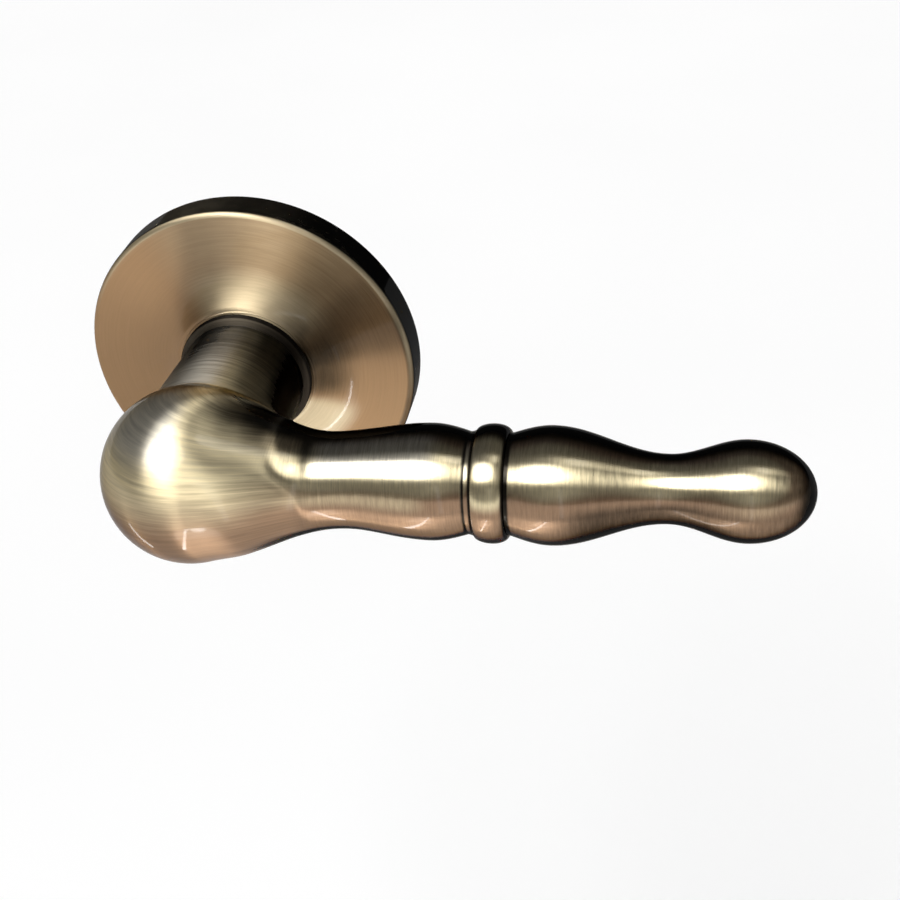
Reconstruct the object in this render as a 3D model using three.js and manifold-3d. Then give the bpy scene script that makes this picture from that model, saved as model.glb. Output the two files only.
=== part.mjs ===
// A door lever handle on a round rose, for one side of a door.
//
// A turned grip springs from a ball elbow, whose neck goes through a round rose into a sprung
// cassette. The cassette brings the lever back level from either direction, so the handle fits
// left-hand and right-hand doors.
//
// Frame: millimetres, +Z up. The origin lies on the spindle's axis in the door's face. The user
// stands at -Y, and the grip points along +X. Depths are measured out from the door's face towards
// the user, so a depth d lies at y = -d, and what reaches into the door has a negative depth.

import * as THREE from 'three';
import { mergeVertices } from 'three/addons/utils/BufferGeometryUtils.js';
import Module from 'manifold-3d';

const wasm = await Module();
wasm.setup();

// ---- Clearances -----------------------------------------------------------------------------

const FIT = 0.3; // gap between seated neighbours
const RUNNING = 0.25; // radial gap of a turning fit
const SHIM = 0.1; // end play between stacked washers
const SOCKET_PLAY = 0.2; // gap on each side of the square spindle

// ---- Rose cover: a spun shell --------------------------------------------------------------

const ROSE_RADIUS = 32.5;
const ROSE_DEPTH = 7.2; // from the door to the rim's front edge
const ROSE_SKIN = 0.7;
const LIP_ROUND = 1.0;
const BAND_WIDTH = 4.3; // flat band inside the rounded lip
const DISH_RISE = 1.2; // how far the dish climbs from the band to the flare
const FLARE_WIDTH = 2.9;
const FLARE_HEIGHT = 1.8;

// ---- Lever ----------------------------------------------------------------------------------

const AXIS_DEPTH = 44; // from the door to the grip's axis
const BALL_RADIUS = 15.7;
const NECK_ROOT_RADIUS = 11.8;
const NECK_FLARE = 1.3; // how much wider the neck is where it meets the ball

// The grip's turned features, laid end to end from the ball's centre.
const BALL_LENGTH = 5; // the ball's own curve, past its centre
const SHOULDER_LENGTH = 22;
const SHOULDER_FULLNESS = 5.4; // length of both handles of the shoulder's curve
const WAIST_RADIUS = 8.4;
const SWELL_LENGTH = 16;
const SWELL_RADIUS = 10.1;
const SWELL_END_LENGTH = 6.2;
const GROOVE_RADIUS = 8.7;
const BEAD_LENGTH = 7;
const BEAD_RADIUS = 10.2;
const BULB_RISE_LENGTH = 7.2;
const BULB_RADIUS = 10.05;
const BULB_FALL_LENGTH = 19.2;
const SLIM_RADIUS = 5.8;
const KNOB_RISE_LENGTH = 12.6;
const KNOB_RADIUS = 8.5;
const KNOB_END_LENGTH = 11;

// ---- Spindle and its grub screw --------------------------------------------------------------

const SPINDLE_SQUARE = 8;
const SPINDLE_CHAMFER = 0.6;
const SPINDLE_REACH = 30; // how far it stands out behind the door's face
const SPINDLE_SEAT = 27; // depth of its front end, inside the neck
const GRUB_RADIUS = 3;
const GRUB_LENGTH = 6;
const GRUB_DEPTH = 20.5;
const GRUB_HEX = 3; // across flats
const GRUB_HEX_LENGTH = 2.4;

// ---- Tail: the lever's shaft through the rose -------------------------------------------------

const TAIL_WALL = 1.7; // around the socket's corners
const TAIL_STEP = 1.3; // the front of the tail is this much thicker
const KEY_DEPTH = 0.6; // of the two flats that turn the driver
const CLIP_GROOVE_DEPTH = 0.5;
const TAIL_END = 1.1; // beyond the retaining clip

// ---- Mounting plate and spring cassette -------------------------------------------------------

const WEB = 1.6; // the plate's floor
const BACK_RECESS = 0.5; // depth of the recess that takes the washers behind the floor
const PLATE_GAP = 0.4; // between the plate's rim and the rose cover
const RIM_WALL = 2.4;
const RIM_DEPTH = 5;
const CHAMBER_WALL = 2;
const COIL_RADIUS = 1.6; // outside of a return spring's coil
const WIRE_RADIUS = 0.35;
const COIL_TURNS = 12;
const REST_ANGLE = 62; // from a spring's middle to its end, degrees
const LEVER_TRAVEL = 45; // each way, degrees
const STOP_SLACK = 1; // overtravel before the driver meets its stop, degrees
const DRIVER_HUB_WALL = 2.2;
const STOP_WIDTH = 2; // radial size of a travel stop
const SPRING_COVER_SHEET = 0.6;

// ---- Bushes, washers and rings ------------------------------------------------------------------

const COLLAR_OVERHANG = 1.2; // how far the collar stands out past the neck's root
const COLLAR_FLANGE = 1.6;
const COLLAR_WALL = 1.9;
const COLLAR_ROUND = 0.5;
const BUSH_WALL = 1;
const BUSH_FLANGE = 0.6;
const THRUST_THICK = 0.7;
const THRUST_WIDTH = 3.6;
const WAVE_THICK = 0.3;
const WAVE_RISE = 0.25;
const WAVE_WIDTH = 2.4;
const WAVES = 3;
const CLIP_THICK = 1;
const CLIP_WIDTH = 2.6;
const CLIP_MOUTH = 50; // opening of the retaining clip, degrees
const SNAP_WIRE = 0.5; // radius of the wire that grips the rose cover
const SNAP_DEPTH = 2.6;
const SNAP_MOUTH = 24; // opening of the snap ring, degrees

// ---- Fasteners -------------------------------------------------------------------------------

const POST_PITCH = 38; // between the two bolt-through posts
const POST_RADIUS = 3.5;
const POST_REACH = 10; // behind the door's face
const POST_THREAD_RADIUS = 1.65;
const POST_THREAD_LENGTH = 12;
const POST_SEAT = 0.8; // plate left in front of a post
const POST_CHAMFER = 0.6;
const WOOD_HEAD_RADIUS = 3.3;
const WOOD_HEAD_HEIGHT = 1.9;
const WOOD_SHANK_RADIUS = 1.75;
const WOOD_THREAD_DEPTH = 0.4;
const WOOD_THREAD_PITCH = 1.6;
const WOOD_REACH = 12; // behind the door's face
const WOOD_POINT = 3;
const WOOD_BOSS_DEPTH = 3.2;
const WOOD_BOSS_WALL = 1;
const RECESS_WIDTH = 0.9; // of a driver's slot or cross
const RECESS_DEPTH = 1;
const CASE_SCREW_RADIUS = 1;
const CASE_HEAD_RADIUS = 2;
const CASE_HEAD_HEIGHT = 0.8;
const CASE_SLOT_DEPTH = 0.4;
const CASE_SCREW_LENGTH = 3;
const CASE_BOSS_WALL = 1.2;
const CASE_SCREWS = 4;

// ---- Fineness of the facets ------------------------------------------------------------------

const ROSE_SIDES = 48;
const GRIP_SIDES = 32;
const ROUND_SIDES = 32;
const SMALL_SIDES = 12;
const CURVE_STEPS = 6;
const MERGE = 1e-4;

// ---- Derived sizes ----------------------------------------------------------------------------

const rad = THREE.MathUtils.degToRad;

const socketSquare = SPINDLE_SQUARE + 2 * SOCKET_PLAY;
const socketCorner = Math.hypot(socketSquare / 2, socketSquare / 2 - SPINDLE_CHAMFER);
const tailRadius = socketCorner + TAIL_WALL;
const tailFrontRadius = tailRadius + TAIL_STEP;
const keyFlat = tailRadius - KEY_DEPTH;

const driverBore = tailRadius + FIT;
const driverHub = driverBore + DRIVER_HUB_WALL;
const stopInner = driverHub + FIT;
const stopOuter = stopInner + STOP_WIDTH;
const springPath = stopOuter + FIT + COIL_RADIUS;
const wingRadius = springPath - FIT / 2;
const blockInner = springPath + FIT / 2;
const chamberRadius = springPath + COIL_RADIUS + FIT;
const chamberOuter = chamberRadius + CHAMBER_WALL;
const chamberTop = WEB + 2 * (COIL_RADIUS + FIT);
const springDepth = WEB + FIT + COIL_RADIUS;
const coverTop = chamberTop + SPRING_COVER_SHEET;
const driverFrom = WEB + BUSH_FLANGE + FIT;
const driverTo = chamberTop - FIT;
const tailShoulder = driverTo + FIT;

const collarRadius = NECK_ROOT_RADIUS + COLLAR_OVERHANG;
const collarBore = tailFrontRadius + RUNNING;
const spigotRadius = collarBore + COLLAR_WALL;
const throatRadius = collarRadius + FIT;
const flareRadius = throatRadius + FLARE_WIDTH;
const throatDepth = ROSE_DEPTH + DISH_RISE + FLARE_HEIGHT;
const coverHole = spigotRadius + FIT;
const collarFront = throatDepth + COLLAR_FLANGE;
const neckRoot = collarFront + FIT;

const plateRadius = ROSE_RADIUS - ROSE_SKIN - PLATE_GAP;
const rimInner = plateRadius - RIM_WALL;
const webBore = tailRadius + RUNNING + BUSH_WALL + FIT;
const postTop = chamberTop - POST_SEAT;
const postBore = POST_RADIUS + FIT;
const postBoss = postBore + 1;
const woodBoss = WOOD_HEAD_RADIUS + FIT + WOOD_BOSS_WALL;
const woodAt = plateRadius - RIM_WALL / 2 - woodBoss;
const caseBoss = CASE_SCREW_RADIUS + FIT + CASE_BOSS_WALL;
const caseScrewAt = chamberOuter + CASE_SCREW_RADIUS;
const snapRadius = plateRadius + PLATE_GAP / 2 - SNAP_WIRE;
const snapGroove = snapRadius - SNAP_WIRE - FIT / 2;

const thrustRadius = tailRadius + RUNNING + THRUST_WIDTH;
const thrustFrom = BACK_RECESS - SHIM;
const waveFrom = thrustFrom - THRUST_THICK - SHIM - WAVE_RISE;
const clipFrom = waveFrom - WAVE_THICK - WAVE_RISE - SHIM;
const clipGroove = tailRadius - CLIP_GROOVE_DEPTH;
const tailTo = clipFrom - CLIP_THICK - TAIL_END;

// ---- Solids: joining, cutting and turning ---------------------------------------------------------

// The closed solid of a three.js geometry, with its faces outwards.
function solidOf(geometry) {
  geometry.deleteAttribute('normal');
  geometry.deleteAttribute('uv');
  const merged = mergeVertices(geometry, MERGE);
  const at = merged.attributes.position;
  const index = merged.index.array;
  const corner = [new THREE.Vector3(), new THREE.Vector3(), new THREE.Vector3()];
  const faces = [];
  let volume = 0;
  for (let i = 0; i < index.length; i += 3) {
    const [a, b, c] = index.slice(i, i + 3);
    if (a === b || b === c || c === a) continue;
    [a, b, c].forEach((vertex, k) => corner[k].fromBufferAttribute(at, vertex));
    volume += corner[0].dot(corner[1].cross(corner[2]));
    faces.push([a, b, c]);
  }
  const outward = volume < 0 ? faces.map(([a, b, c]) => [a, c, b]) : faces;
  return new wasm.Manifold(new wasm.Mesh({
    numProp: 3,
    vertProperties: Float32Array.from(at.array),
    triVerts: Uint32Array.from(outward.flat()),
  }));
}

// The three.js geometry of a solid.
function geometryOf(solid) {
  const { numProp, vertProperties, triVerts } = solid.getMesh();
  const geometry = new THREE.BufferGeometry();
  geometry.setAttribute('position', new THREE.Float32BufferAttribute(vertProperties, numProp));
  geometry.setIndex(Array.from(triVerts));
  geometry.computeVertexNormals();
  return geometry;
}

// An outline of [radius, depth] corners turned about the spindle's axis. It starts and ends on
// the axis, or goes round a ring.
function turned(outline, sides = ROUND_SIDES) {
  const points = outline.map(([radius, depth]) => new THREE.Vector2(radius, -depth));
  const onAxis = outline[0][0] === 0 && outline.at(-1)[0] === 0;
  if (!onAxis) points.push(points[0].clone());
  return new THREE.LatheGeometry(points, sides);
}

const rod = (radius, from, to, sides = ROUND_SIDES) =>
  solidOf(turned([[0, from], [radius, from], [radius, to], [0, to]], sides));

const ring = (inner, outer, from, to, sides = ROUND_SIDES) =>
  solidOf(turned([[inner, from], [outer, from], [outer, to], [inner, to]], sides));

// A flat outline drawn in X and Z, thickened from one depth to another.
function slab(shape, from, to) {
  const options = { depth: to - from, bevelEnabled: false, curveSegments: ROUND_SIDES / 2 };
  const geometry = new THREE.ExtrudeGeometry(shape, options);
  geometry.rotateX(Math.PI / 2);
  geometry.translate(0, -from, 0);
  return solidOf(geometry);
}

// A sector of a ring, its middle and half-width in degrees from +X towards +Z.
function sector(inner, outer, middle, half, from, to) {
  const start = rad(middle - half);
  const end = rad(middle + half);
  const shape = new THREE.Shape();
  shape.absarc(0, 0, outer, start, end, false);
  shape.absarc(0, 0, inner, end, start, true);
  return slab(shape, from, to);
}

// A square with its corners cut off at 45 degrees.
function chamferedSquare(side, chamfer) {
  const edge = side / 2;
  const cut = edge - chamfer;
  const corners = [
    [edge, -cut], [edge, cut], [cut, edge], [-cut, edge],
    [-edge, cut], [-edge, -cut], [-cut, -edge], [cut, -edge],
  ];
  return new THREE.Shape(corners.map(([x, z]) => new THREE.Vector2(x, z)));
}

function box(x, y, z, centre = [0, 0, 0]) {
  return solidOf(new THREE.BoxGeometry(x, y, z)).translate(centre);
}

const placed = (solid, x, z) => solid.translate([x, 0, z]);

// Places of a pattern around the spindle's axis, as [x, z].
function around(count, radius, first = 0) {
  return Array.from({ length: count }, (_, i) => {
    const angle = rad(first + (360 * i) / count);
    return [radius * Math.cos(angle), radius * Math.sin(angle)];
  });
}

// ---- Lever -------------------------------------------------------------------------------------

// The outline of a turned bar: [place along the bar, radius] points, feature after feature.
class Turning {
  constructor(at, radius) {
    this.points = [[at, radius]];
  }

  // A feature of this length, whose radius is a function of t from 0 to 1.
  feature(length, radiusAt, steps = CURVE_STEPS) {
    const [start] = this.points.at(-1);
    for (let i = 1; i <= steps; i += 1) {
      this.points.push([start + (length * i) / steps, radiusAt(i / steps)]);
    }
    return this;
  }

  // Level at both ends, as between a waist and a swell.
  ease(length, radius, steps) {
    const from = this.points.at(-1)[1];
    const share = (t) => (1 - Math.cos(Math.PI * t)) / 2;
    return this.feature(length, (t) => from + (radius - from) * share(t), steps);
  }

  // Level at the start, then falling into a groove.
  fall(length, radius, steps) {
    const from = this.points.at(-1)[1];
    return this.feature(length, (t) => radius + (from - radius) * Math.cos((Math.PI / 2) * t), steps);
  }

  // Rising out of a groove, level at the end.
  rise(length, radius, steps) {
    const from = this.points.at(-1)[1];
    return this.feature(length, (t) => from + (radius - from) * Math.sin((Math.PI / 2) * t), steps);
  }

  // A half-round bead that comes back to the radius it started from.
  bead(length, radius, steps) {
    const foot = this.points.at(-1)[1];
    const height = (t) => Math.sqrt(Math.max(0, 1 - (2 * t - 1) ** 2));
    return this.feature(length, (t) => foot + (radius - foot) * height(t), steps);
  }

  // A rounded end that closes on the bar's axis.
  dome(length, steps) {
    const from = this.points.at(-1)[1];
    const start = this.points.at(-1)[0];
    for (let i = 1; i < steps; i += 1) {
      const angle = (Math.PI / 2) * (i / steps);
      this.points.push([start + length * Math.sin(angle), from * Math.cos(angle)]);
    }
    this.points.push([start + length, 0]);
    return this;
  }
}

// The ball's curve from its far pole to where the shoulder takes over.
function ballArc(outline) {
  const steps = 2 * CURVE_STEPS;
  const end = Math.acos(BALL_LENGTH / BALL_RADIUS);
  for (let i = 1; i <= steps; i += 1) {
    const angle = Math.PI + ((end - Math.PI) * i) / steps;
    outline.points.push([BALL_RADIUS * Math.cos(angle), BALL_RADIUS * Math.sin(angle)]);
  }
}

// The shoulder leaves the ball along its own slope and comes level at the waist.
function shoulder(outline) {
  const [start, radius] = outline.points.at(-1);
  const slope = -BALL_LENGTH / radius;
  const end = start + SHOULDER_LENGTH;
  const curve = new THREE.CubicBezierCurve(
    new THREE.Vector2(start, radius),
    new THREE.Vector2(start + SHOULDER_FULLNESS, radius + slope * SHOULDER_FULLNESS),
    new THREE.Vector2(end - SHOULDER_FULLNESS, WAIST_RADIUS),
    new THREE.Vector2(end, WAIST_RADIUS),
  );
  curve.getPoints(CURVE_STEPS + 1).slice(1).forEach(({ x, y }) => outline.points.push([x, y]));
}

function gripBar() {
  const outline = new Turning(-BALL_RADIUS, 0);
  ballArc(outline);
  shoulder(outline);
  outline
    .ease(SWELL_LENGTH, SWELL_RADIUS)
    .fall(SWELL_END_LENGTH, GROOVE_RADIUS, 4)
    .bead(BEAD_LENGTH, BEAD_RADIUS, 8)
    .rise(BULB_RISE_LENGTH, BULB_RADIUS, 4)
    .ease(BULB_FALL_LENGTH, SLIM_RADIUS, CURVE_STEPS + 1)
    .ease(KNOB_RISE_LENGTH, KNOB_RADIUS)
    .dome(KNOB_END_LENGTH, CURVE_STEPS);
  const points = outline.points.map(([at, radius]) => new THREE.Vector2(radius, at));
  const geometry = new THREE.LatheGeometry(points, GRIP_SIDES);
  geometry.rotateZ(-Math.PI / 2);
  geometry.translate(0, -AXIS_DEPTH, 0);
  return solidOf(geometry);
}

// The neck and the tail behind it, turned in one.
function neckAndTail() {
  const clipTo = clipFrom - CLIP_THICK - SHIM;
  const stepped = solidOf(turned([
    [0, tailTo],
    [tailRadius, tailTo],
    [tailRadius, clipTo],
    [clipGroove, clipTo],
    [clipGroove, clipFrom + SHIM],
    [tailRadius, clipFrom + SHIM],
    [tailRadius, tailShoulder],
    [tailFrontRadius, tailShoulder],
    [tailFrontRadius, neckRoot],
    [NECK_ROOT_RADIUS, neckRoot],
    [NECK_ROOT_RADIUS + NECK_FLARE, AXIS_DEPTH],
    [0, AXIS_DEPTH],
  ]));
  const keyLength = tailShoulder - tailTo + 2;
  const keyMiddle = (tailShoulder + tailTo - 2) / 2;
  const cut = (side) =>
    box(3 * tailRadius, keyLength, tailRadius, [0, -keyMiddle, side * (keyFlat + tailRadius / 2)]);
  return stepped.subtract(cut(1)).subtract(cut(-1));
}

function lever() {
  const socket = slab(chamferedSquare(socketSquare, SPINDLE_CHAMFER), tailTo - 1, SPINDLE_SEAT + FIT);
  const grubHole = uprightRod(GRUB_RADIUS + FIT, -AXIS_DEPTH, 0);
  return gripBar().add(neckAndTail()).subtract(socket).subtract(grubHole);
}

// ---- Spindle and grub screw ----------------------------------------------------------------------

const spindle = () => slab(chamferedSquare(SPINDLE_SQUARE, SPINDLE_CHAMFER), -SPINDLE_REACH, SPINDLE_SEAT);

// A rod along Z at the grub screw's depth.
function uprightRod(radius, from, to, sides = 2 * SMALL_SIDES) {
  const geometry = new THREE.CylinderGeometry(radius, radius, to - from, sides);
  geometry.rotateX(Math.PI / 2);
  geometry.translate(0, -GRUB_DEPTH, (from + to) / 2);
  return solidOf(geometry);
}

// The grub screw bears on the spindle's lower flat and has a hexagon socket in its lower end.
function grubScrew() {
  const top = -(SPINDLE_SQUARE / 2 + SHIM);
  const bottom = top - GRUB_LENGTH;
  const hex = uprightRod(GRUB_HEX / Math.sqrt(3), bottom - 1, bottom + GRUB_HEX_LENGTH, 6);
  return uprightRod(GRUB_RADIUS, bottom, top).subtract(hex);
}

// ---- Rose cover -------------------------------------------------------------------------------------

// The inner side of a shell whose outer side is this open outline.
function offsetInwards(outline, skin) {
  const at = outline.map(([radius, depth]) => new THREE.Vector2(radius, depth));
  const inwards = (from, to) => {
    const along = to.clone().sub(from).normalize();
    return new THREE.Vector2(-along.y, along.x);
  };
  return at.map((point, i) => {
    const before = i > 0 ? inwards(at[i - 1], point) : inwards(point, at[i + 1]);
    const after = i < at.length - 1 ? inwards(point, at[i + 1]) : before;
    const mitre = before.clone().add(after).multiplyScalar(skin / (1 + before.dot(after)));
    return [point.x + mitre.x, point.y + mitre.y];
  });
}

// Rim, rounded lip, flat band, dish and the flare that rises to the collar.
function roseOutline() {
  const outline = [[ROSE_RADIUS, 0]];
  const lipSteps = 4;
  for (let i = 0; i <= lipSteps; i += 1) {
    const angle = (Math.PI / 2) * (i / lipSteps);
    const radius = ROSE_RADIUS - LIP_ROUND + LIP_ROUND * Math.cos(angle);
    outline.push([radius, ROSE_DEPTH - LIP_ROUND + LIP_ROUND * Math.sin(angle)]);
  }
  outline.push([ROSE_RADIUS - LIP_ROUND - BAND_WIDTH, ROSE_DEPTH]);
  const flareSteps = 5;
  for (let i = 0; i <= flareSteps; i += 1) {
    const angle = (Math.PI / 2) * (i / flareSteps);
    const radius = flareRadius - FLARE_WIDTH * Math.sin(angle);
    outline.push([radius, throatDepth - FLARE_HEIGHT * Math.cos(angle)]);
  }
  outline.push([coverHole, throatDepth]);
  return outline;
}

function roseCover() {
  const outer = roseOutline();
  const inner = offsetInwards(outer, ROSE_SKIN).reverse();
  return solidOf(turned([...outer, ...inner], ROSE_SIDES));
}

// ---- Mounting plate ----------------------------------------------------------------------------

const caseScrewPlaces = () => around(CASE_SCREWS, caseScrewAt, 180 / CASE_SCREWS);
const postPlaces = () => around(2, POST_PITCH / 2, 90);
const woodScrewPlaces = () => around(2, woodAt, 0);

// Floor, rim and chamber wall, with the blocks that the springs rest on and the travel stops.
function plateBody() {
  const stopHalf = REST_ANGLE - LEVER_TRAVEL - STOP_SLACK;
  let plate = rod(plateRadius, 0, WEB, ROSE_SIDES)
    .add(ring(rimInner, plateRadius, 0, RIM_DEPTH, ROSE_SIDES))
    .add(ring(chamberRadius, chamberOuter, 0, chamberTop));
  for (const side of [90, 270]) {
    plate = plate.add(sector(blockInner, chamberOuter - 1, side, 90 - REST_ANGLE, 0, chamberTop));
  }
  for (const side of [0, 180]) {
    plate = plate.add(sector(stopInner, stopOuter, side, stopHalf, 0, driverTo));
  }
  for (const [x, z] of postPlaces()) {
    plate = plate.add(placed(rod(postBoss, 0, chamberTop, SMALL_SIDES * 2), x, z));
  }
  for (const [x, z] of caseScrewPlaces()) {
    plate = plate.add(placed(rod(caseBoss, 0, chamberTop, SMALL_SIDES), x, z));
  }
  for (const [x, z] of woodScrewPlaces()) {
    plate = plate.add(placed(rod(woodBoss, 0, WOOD_BOSS_DEPTH, SMALL_SIDES * 2), x, z));
  }
  return plate;
}

// A countersunk hole for a wood screw.
function woodScrewHole() {
  const head = WOOD_HEAD_RADIUS + FIT;
  const shank = WOOD_SHANK_RADIUS + FIT;
  const seat = WOOD_BOSS_DEPTH - WOOD_HEAD_HEIGHT - FIT;
  return solidOf(turned([
    [0, -1], [shank, -1], [shank, seat], [head, WOOD_BOSS_DEPTH - FIT],
    [head, chamberTop], [0, chamberTop],
  ], SMALL_SIDES * 2));
}

function mountingPlate() {
  let plate = plateBody()
    .subtract(rod(webBore, -1, WEB + 1))
    .subtract(rod(thrustRadius + FIT, -1, BACK_RECESS))
    .subtract(ring(snapGroove, plateRadius + 1, SNAP_DEPTH - SNAP_WIRE - FIT / 2,
      SNAP_DEPTH + SNAP_WIRE + FIT / 2, ROSE_SIDES));
  for (const [x, z] of postPlaces()) {
    plate = plate.subtract(placed(rod(postBore, -1, postTop, SMALL_SIDES * 2), x, z));
  }
  for (const [x, z] of caseScrewPlaces()) {
    const tapped = rod(CASE_SCREW_RADIUS + FIT, coverTop - CASE_SCREW_LENGTH - FIT, coverTop, SMALL_SIDES);
    plate = plate.subtract(placed(tapped, x, z));
  }
  for (const [x, z] of woodScrewPlaces()) {
    plate = plate.subtract(placed(woodScrewHole(), x, z));
  }
  return plate;
}

// ---- Spring cassette ----------------------------------------------------------------------------

// The sheet that closes the chamber, with an ear at each of its screws.
function springCover() {
  let sheet = rod(chamberOuter, chamberTop, coverTop);
  for (const [x, z] of caseScrewPlaces()) {
    sheet = sheet.add(placed(rod(caseBoss, chamberTop, coverTop, SMALL_SIDES), x, z));
  }
  for (const [x, z] of caseScrewPlaces()) {
    const hole = rod(CASE_SCREW_RADIUS + FIT, chamberTop - 1, coverTop + 1, SMALL_SIDES);
    sheet = sheet.subtract(placed(hole, x, z));
  }
  return sheet.subtract(rod(coverHole, chamberTop - 1, coverTop + 1));
}

// The hub is keyed to the tail's flats, and its two wings push the springs.
function springDriver() {
  const wings = [90, 270].map((side) =>
    sector(driverHub - 1, wingRadius, side, 90 - REST_ANGLE, driverFrom, driverTo));
  const round = rod(driverBore, driverFrom - 1, driverTo + 1);
  const flats = box(3 * driverBore, 4 * chamberTop, 2 * (keyFlat + FIT));
  return rod(driverHub, driverFrom, driverTo)
    .add(wings[0])
    .add(wings[1])
    .subtract(round.intersect(flats));
}

// A coil wound around an arc in the chamber; the angle of its middle is in degrees.
class ArcCoil extends THREE.Curve {
  constructor(middle) {
    super();
    this.middle = middle;
  }

  getPoint(t, target = new THREE.Vector3()) {
    const half = REST_ANGLE - 3;
    const along = rad(this.middle + half * (2 * t - 1));
    const turn = 2 * Math.PI * COIL_TURNS * t;
    const coil = COIL_RADIUS - WIRE_RADIUS;
    const radius = springPath + coil * Math.cos(turn);
    const depth = springDepth + coil * Math.sin(turn);
    return target.set(radius * Math.cos(along), -depth, radius * Math.sin(along));
  }
}

// An open circle about the spindle's axis, its mouth centred on an angle in degrees.
class OpenCircle extends THREE.Curve {
  constructor(radius, depth, mouthAt, mouth) {
    super();
    Object.assign(this, { radius, depth, mouthAt, mouth });
  }

  getPoint(t, target = new THREE.Vector3()) {
    const angle = rad(this.mouthAt + this.mouth / 2 + (360 - this.mouth) * t);
    return target.set(this.radius * Math.cos(angle), -this.depth, this.radius * Math.sin(angle));
  }
}

function wire(curve, radius, sides, steps) {
  const section = new THREE.Shape(around(sides, radius).map(([x, z]) => new THREE.Vector2(x, z)));
  return solidOf(new THREE.ExtrudeGeometry(section, { steps, bevelEnabled: false, extrudePath: curve }));
}

const returnSpring = (middle) => wire(new ArcCoil(middle), WIRE_RADIUS, 5, 8 * COIL_TURNS);

// ---- Bushes, washers and rings --------------------------------------------------------------------

// The collar closes the rose around the neck, and its spigot guides the tail.
function collarRing() {
  const edge = [];
  const steps = 3;
  for (let i = 0; i <= steps; i += 1) {
    const angle = (Math.PI / 2) * (i / steps);
    const radius = collarRadius - COLLAR_ROUND + COLLAR_ROUND * Math.cos(angle);
    edge.push([radius, collarFront - COLLAR_ROUND + COLLAR_ROUND * Math.sin(angle)]);
  }
  return solidOf(turned([
    [collarBore, chamberTop],
    [spigotRadius, chamberTop],
    [spigotRadius, throatDepth],
    [collarRadius, throatDepth],
    ...edge,
    [collarBore, collarFront],
  ]));
}

function neckBush() {
  const bore = tailRadius + RUNNING;
  return solidOf(turned([
    [bore, BACK_RECESS],
    [bore + BUSH_WALL, BACK_RECESS],
    [bore + BUSH_WALL, WEB],
    [driverHub, WEB],
    [driverHub, WEB + BUSH_FLANGE],
    [bore, WEB + BUSH_FLANGE],
  ]));
}

const thrustWasher = () =>
  ring(tailRadius + RUNNING, thrustRadius, thrustFrom - THRUST_THICK, thrustFrom);

// A thin ring pressed into waves, which takes up the end play.
function waveWasher() {
  const bore = tailRadius + RUNNING;
  const geometry = turned([
    [bore, waveFrom - WAVE_THICK],
    [bore + WAVE_WIDTH, waveFrom - WAVE_THICK],
    [bore + WAVE_WIDTH, waveFrom],
    [bore, waveFrom],
  ]);
  const at = geometry.attributes.position;
  for (let i = 0; i < at.count; i += 1) {
    const angle = Math.atan2(at.getZ(i), at.getX(i));
    at.setY(i, at.getY(i) + WAVE_RISE * Math.cos(WAVES * angle));
  }
  return solidOf(geometry);
}

// The clip snaps into the tail's groove, with an eye at each end for the pliers.
function retainingClip() {
  const inner = clipGroove + SHIM;
  const outer = inner + CLIP_WIDTH;
  const to = clipFrom;
  const from = clipFrom - CLIP_THICK;
  const half = 180 - CLIP_MOUTH / 2;
  let clip = sector(inner, outer, 90, half, from, to);
  for (const end of [90 - half + 9, 90 + half - 9]) {
    const middle = (inner + outer) / 2;
    const eye = rod(CLIP_WIDTH / 4, from - 1, to + 1, SMALL_SIDES);
    clip = clip.subtract(placed(eye, middle * Math.cos(rad(end)), middle * Math.sin(rad(end))));
  }
  return clip;
}

const snapRing = () => wire(new OpenCircle(snapRadius, SNAP_DEPTH, 270, SNAP_MOUTH), SNAP_WIRE, 6, 42);

// ---- Fasteners -----------------------------------------------------------------------------------

// A bolt-through post: a sleeve pressed into the plate, threaded from its far end.
function boltPost([x, z]) {
  const end = -POST_REACH;
  const top = postTop - FIT;
  return placed(solidOf(turned([
    [0, top],
    [POST_RADIUS - POST_CHAMFER, top],
    [POST_RADIUS, top - POST_CHAMFER],
    [POST_RADIUS, end + POST_CHAMFER],
    [POST_RADIUS - POST_CHAMFER, end],
    [POST_THREAD_RADIUS, end],
    [POST_THREAD_RADIUS, end + POST_THREAD_LENGTH],
    [0, end + POST_THREAD_LENGTH],
  ], SMALL_SIDES)), x, z);
}

// A countersunk wood screw with a cross recess and rings of thread.
function woodScrew([x, z]) {
  const top = WOOD_BOSS_DEPTH - FIT;
  const neck = top - WOOD_HEAD_HEIGHT;
  const point = -WOOD_REACH;
  const root = WOOD_SHANK_RADIUS - WOOD_THREAD_DEPTH;
  const threads = Math.floor((neck - point - WOOD_POINT) / WOOD_THREAD_PITCH);
  const outline = [[0, point]];
  for (let i = 0; i < threads; i += 1) {
    const at = point + WOOD_POINT + i * WOOD_THREAD_PITCH;
    outline.push([root, at], [WOOD_SHANK_RADIUS, at + WOOD_THREAD_PITCH / 2]);
  }
  outline.push([root, neck - FIT], [root, neck], [WOOD_HEAD_RADIUS, top], [0, top]);
  const arm = (along, across) => box(along, 2 * RECESS_DEPTH, across, [0, -top, 0]);
  return placed(solidOf(turned(outline, SMALL_SIDES))
    .subtract(arm(WOOD_HEAD_RADIUS, RECESS_WIDTH))
    .subtract(arm(RECESS_WIDTH, WOOD_HEAD_RADIUS)), x, z);
}

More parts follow.
